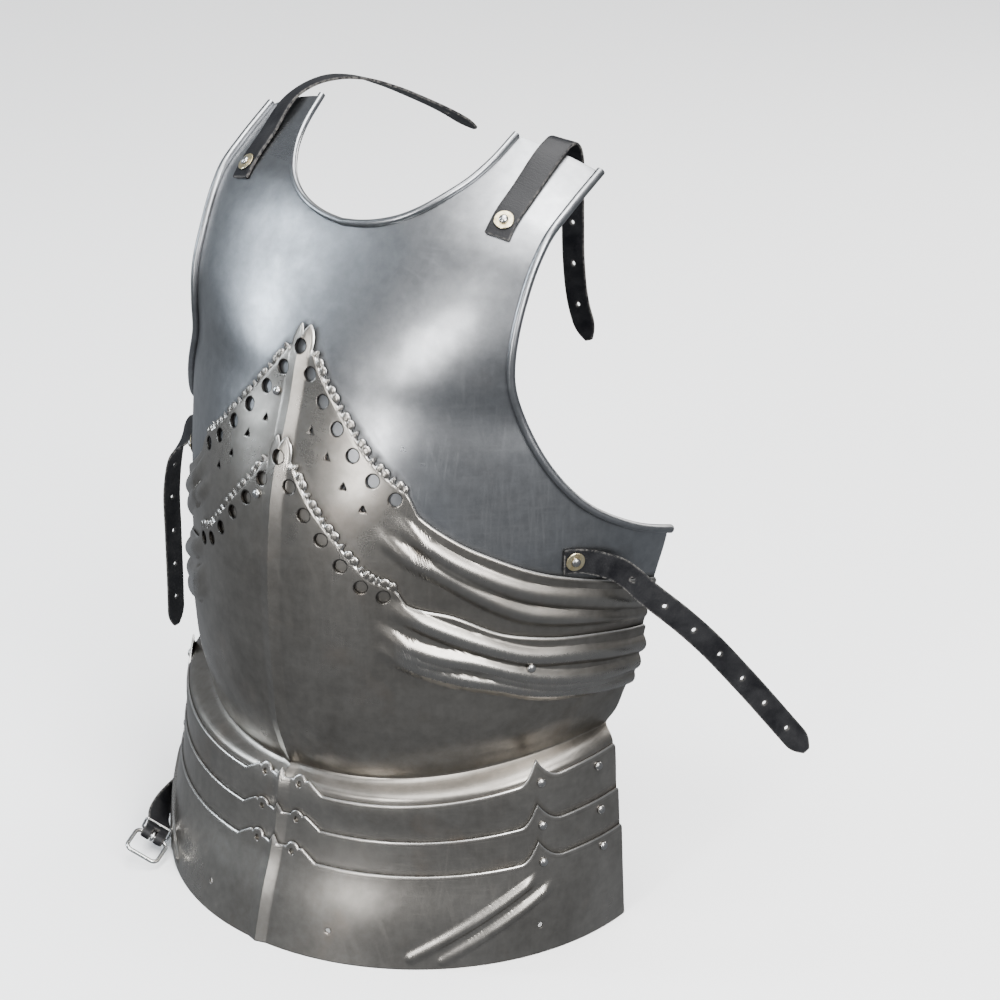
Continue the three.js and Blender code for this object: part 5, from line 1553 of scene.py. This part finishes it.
def make_steel(name, light, dark, roughness, hammer, chase, rust, shade_strength):
    """A worn steel. hammer and chase are the depths of the hammer marks and of the chased line, in
    metres. Where there is no chased line, the piece has no worked edge either, and so neither its
    painted highlights nor the painted shadows round its holes. The last value is how strong the
    painted shade is where another plate lies over the piece."""
    material, tree, shader, place = new_material(name, 1.0)
    patina = add(tree, "ShaderNodeGroup", node_tree=patina_group)
    patina.inputs["Rust"].default_value = rust
    scratch = add(tree, "ShaderNodeGroup", node_tree=scratch_group)
    edge = add(tree, "ShaderNodeGroup", node_tree=edge_group)
    edge.inputs["Line at"].default_value = CHASED_LINE_AT
    tree.links.new(place, patina.inputs["Vector"])
    tree.links.new(place, scratch.inputs["Vector"])
    stain, mottle, spots = (patina.outputs[label] for label in ("Stain", "Mottle", "Rust"))

    colour = mix_colour(tree, ramp(tree, stain, 0.36, 0.66), (*dark, 1.0), (*light, 1.0))
    speck = ramp(tree, mottle, 0.35, 0.70, 0.86, 1.06)
    speck_colour = add(tree, "ShaderNodeCombineColor")
    for channel in range(3):
        tree.links.new(speck, speck_colour.inputs[channel])
    colour = mix_colour(tree, 1.0, colour, speck_colour.outputs[0], "MULTIPLY")

    rough = ramp(tree, stain, 0.32, 0.70, roughness + 0.07, roughness - 0.05)
    rough = math_node(tree, "ADD", rough, times(tree, scratch.outputs["Scratch"], 0.045))
    rough = math_node(tree, "ADD", rough, times(tree, spots, 0.10), clamp=True)
    fine = times(tree, mottle, 0.000005)
    if chase > 0:
        # A lighter band at the cut and lighter crests, partly painted highlights; a darker chased
        # line; a painted shadow round each hole
        for mask, strength, tint in EDGE_TINTS:
            colour = mix_colour(tree, times(tree, edge.outputs[mask], strength), colour, tint)
        rough = math_node(tree, "SUBTRACT", rough, times(tree, edge.outputs["Crest polish and highlight"], 0.07))
        fine = math_node(tree, "SUBTRACT", fine, times(tree, edge.outputs["Groove"], chase))
    # Painted shade near the edge of a covering plate and under it, broken up by the mottle
    if shade_strength > 0:
        shade_breakup = ramp(tree, mottle, 0.3, 0.6, 0.6, 1.0)
        shade_mix = times(tree, times(tree, edge.outputs["Painted shade"], shade_breakup), shade_strength)
        colour = mix_colour(tree, shade_mix, colour, PAINTED_SHADE_COLOUR)
        rough = math_node(tree, "ADD", rough, times(tree, shade_mix, 0.3), clamp=True)
    colour = mix_colour(tree, spots, colour, RUST_COLOUR)

    hammered = bump(tree, noise(tree, place, 24.0, 2.0, 0.4), hammer)
    tree.links.new(colour, shader.inputs["Base Color"])
    tree.links.new(rough, shader.inputs["Roughness"])
    tree.links.new(bump(tree, fine, 1.0, under=hammered), shader.inputs["Normal"])
    return material


# Light and dark colour, roughness, hammer marks, chased line, rust, and the strength of the painted
# shade where plates overlap
STEELS = {
    "Chest steel": (
        (0.33, 0.338, 0.350), (0.20, 0.204, 0.210), 0.31, 0.0007, 0.0, 0.03, 0.8),
    "Plackart steel": (
        (0.370, 0.346, 0.312), (0.215, 0.200, 0.179), 0.28, 0.0006, 0.00003, 0.15, 0.6),
    "Lame steel": (
        (0.430, 0.406, 0.370), (0.255, 0.240, 0.218), 0.29, 0.0007, 0.00003, 0.2, 0.95),
    "Rivet steel": ((0.55, 0.55, 0.54), (0.34, 0.33, 0.32), 0.24, 0.0002, 0.0, 0.3, 0.0),
    "Wire steel": ((0.70, 0.70, 0.69), (0.44, 0.43, 0.42), 0.25, 0.0002, 0.0, 0.3, 0.0),
}
steels = {name: make_steel(name, *values) for name, values in STEELS.items()}
print("steels:", list(steels))

# %% [markdown]
# The washers are brass that has lost its shine, and the leather is dyed black. Leather shows fine
# creases and pores, a dull sheen, and grey wear where the cut edge has lost its dye.

# %% Brass and leather


def make_brass():
    """Worn brass with darker stains in its clouds."""
    material, tree, shader, place = new_material("Washer brass", 1.0)
    clouds = noise(tree, place, 260.0, 5.0, 0.6)
    stains = ramp(tree, clouds, 0.35, 0.65)
    colour = mix_colour(tree, stains, (0.42, 0.34, 0.19, 1), (0.76, 0.68, 0.46, 1))
    tree.links.new(colour, shader.inputs["Base Color"])
    tree.links.new(ramp(tree, clouds, 0.3, 0.7, 0.46, 0.26), shader.inputs["Roughness"])
    tree.links.new(bump(tree, clouds, 0.00006), shader.inputs["Normal"])
    return material


def make_leather():
    """Black strap leather: pores, creases across the strap, and worn grey edges."""
    material, tree, shader, place = new_material("Strap leather")
    shader.inputs["Specular IOR Level"].default_value = 0.20
    edge = attribute(tree, "edge_distance")
    along = attribute(tree, "strap_length")
    pores = add(tree, "ShaderNodeTexVoronoi", {"Scale": 900.0}, feature="F1")
    tree.links.new(place, pores.inputs["Vector"])
    clouds = noise(tree, place, 60.0, 5.0, 0.6, 0.4)
    scuffs = noise(tree, place, 380.0, 6.0, 0.7)
    rows = add(tree, "ShaderNodeCombineXYZ")
    tree.links.new(times(tree, along, 620.0), rows.inputs[0])
    tree.links.new(times(tree, clouds, 6.0), rows.inputs[1])
    creases = noise(tree, rows.outputs[0], 1.0, 3.0, 0.6)
    dye = ramp(tree, clouds, 0.35, 0.7)
    colour = mix_colour(tree, dye, (0.004, 0.004, 0.005, 1), (0.012, 0.012, 0.013, 1))
    at_edge = ramp(tree, edge, 0.0, 0.0013, 1.0, 0.0)
    worn = times(tree, at_edge, ramp(tree, scuffs, 0.42, 0.62))
    scuffed = times(tree, ramp(tree, scuffs, 0.62, 0.74), 0.2)
    wear = math_node(tree, "MAXIMUM", worn, scuffed)
    colour = mix_colour(tree, wear, colour, (0.085, 0.080, 0.074, 1))
    tree.links.new(colour, shader.inputs["Base Color"])
    sheen = ramp(tree, clouds, 0.3, 0.7, 0.36, 0.52)
    rough = math_node(tree, "ADD", sheen, times(tree, wear, 0.2))
    tree.links.new(rough, shader.inputs["Roughness"])
    pore_depth = times(tree, pores.outputs["Distance"], 0.00010)
    grain = math_node(tree, "ADD", pore_depth, times(tree, creases, 0.00022))
    tree.links.new(bump(tree, grain, 1.0, 0.8), shader.inputs["Normal"])
    return material


# %% Give each piece its material, and each plate its place in the frame
PLATES = [
    (chest_plate, "Chest steel", "breastplate_main"),
    (upper_plackart, "Plackart steel", "plackart_upper"),
    (lower_plackart, "Plackart steel", "plackart_lower"),
    *((piece, "Lame steel", f"fauld_lame_{n + 1}") for n, piece in enumerate(lames)),
]
for piece, steel_name, node in PLATES:
    piece.data.materials.append(steels[steel_name])
    stand_for(piece, "plate_steel", node)
DRESSED = [
    ((plackart_rivets, fauld_rivets, strap_rivets, buckle_rivet), steels["Rivet steel"]),
    ((buckle_frame, buckle_keeper, buckle_tongue), steels["Wire steel"]),
    ((washers,), make_brass()),
    (leather_pieces, make_leather()),
]
for pieces, material in DRESSED:
    for piece in pieces:
        piece.data.materials.append(material)
print("plates:", len(PLATES), "other pieces:", sum(len(pieces) for pieces, _ in DRESSED))

# %% [markdown]
# Polished metal shows its surroundings, so the light is half of its look. A large soft light at
# the right of the camera gives the broad highlights, a long one at the left a cool edge, one stands
# above the shoulders, and a weak one behind lights the hollow inside. The room's far side stays
# darker, which gives the steel its depth. The floor is plain and pale, and large enough to fill the
# picture.

# %% Floor, lights and world
FLOOR_HALF = 30.0
CENTRE = (0.0, 0.1, 0.3)
WHITE = (1, 1, 1)
# Name, place, size, power and colour of each soft light
LIGHTS = [
    ("key", (2.2, -0.9, 1.8), (1.3, 1.5), 135, WHITE),
    ("left_edge", (-2.1, -1.2, 1.3), (0.5, 1.6), 48, (0.80, 0.90, 1.0)),
    ("top", (0.1, 0.5, 2.5), (1.6, 1.2), 70, WHITE),
    ("back_fill", (0.5, 2.8, 1.5), (1.4, 1.2), 40, (1.0, 0.97, 0.93)),
    ("front_strip", (0.2, -2.6, 1.1), (0.4, 1.4), 50, WHITE),
]

floor_mesh = bpy.data.meshes.new("floor")
corners = [(x * FLOOR_HALF, y * FLOOR_HALF, 0) for x, y in ((-1, -1), (1, -1), (1, 1), (-1, 1))]
floor_mesh.from_pydata(corners, [], [(0, 1, 2, 3)])
floor = into_scene("floor", floor_mesh)
floor_material = bpy.data.materials.new("Pale floor")
floor_material.use_nodes = True
floor_shader = floor_material.node_tree.nodes["Principled BSDF"]
floor_shader.inputs["Base Color"].default_value = (0.93, 0.93, 0.93, 1)
floor_shader.inputs["Roughness"].default_value = 0.9
floor_mesh.materials.append(floor_material)
# Black cloths round a studio set keep the pale floor out of polished metal
floor.visible_glossy = False


def soft_light(name, place, size, power, colour):
    """A rectangular light that faces the centre."""
    data = bpy.data.lights.new(name, "AREA")
    data.shape = "RECTANGLE"
    data.size, data.size_y = size
    data.energy = power
    data.color = colour
    light = into_scene(name, data)
    light.location = place
    away = np.subtract(place, CENTRE)
    tilt = math.atan2(math.hypot(away[0], away[1]), away[2])
    light.rotation_euler = (tilt, 0, math.atan2(away[1], away[0]) + math.pi / 2)


for light_values in LIGHTS:
    soft_light(*light_values)

# A wide, soft sun from above lights the whole floor evenly
sky_data = bpy.data.lights.new("overcast", "SUN")
sky_data.energy = 3.9
sky_data.angle = math.radians(50)
into_scene("overcast", sky_data).rotation_euler = (math.radians(18), math.radians(10), 0)

world = bpy.data.worlds.new("studio")
world.use_nodes = True
bpy.context.scene.world = world
background = world.node_tree.nodes["Background"]
background.inputs["Color"].default_value = (0.72, 0.76, 0.82, 1)
background.inputs["Strength"].default_value = 0.40
print("lights:", len(LIGHTS) + 1)
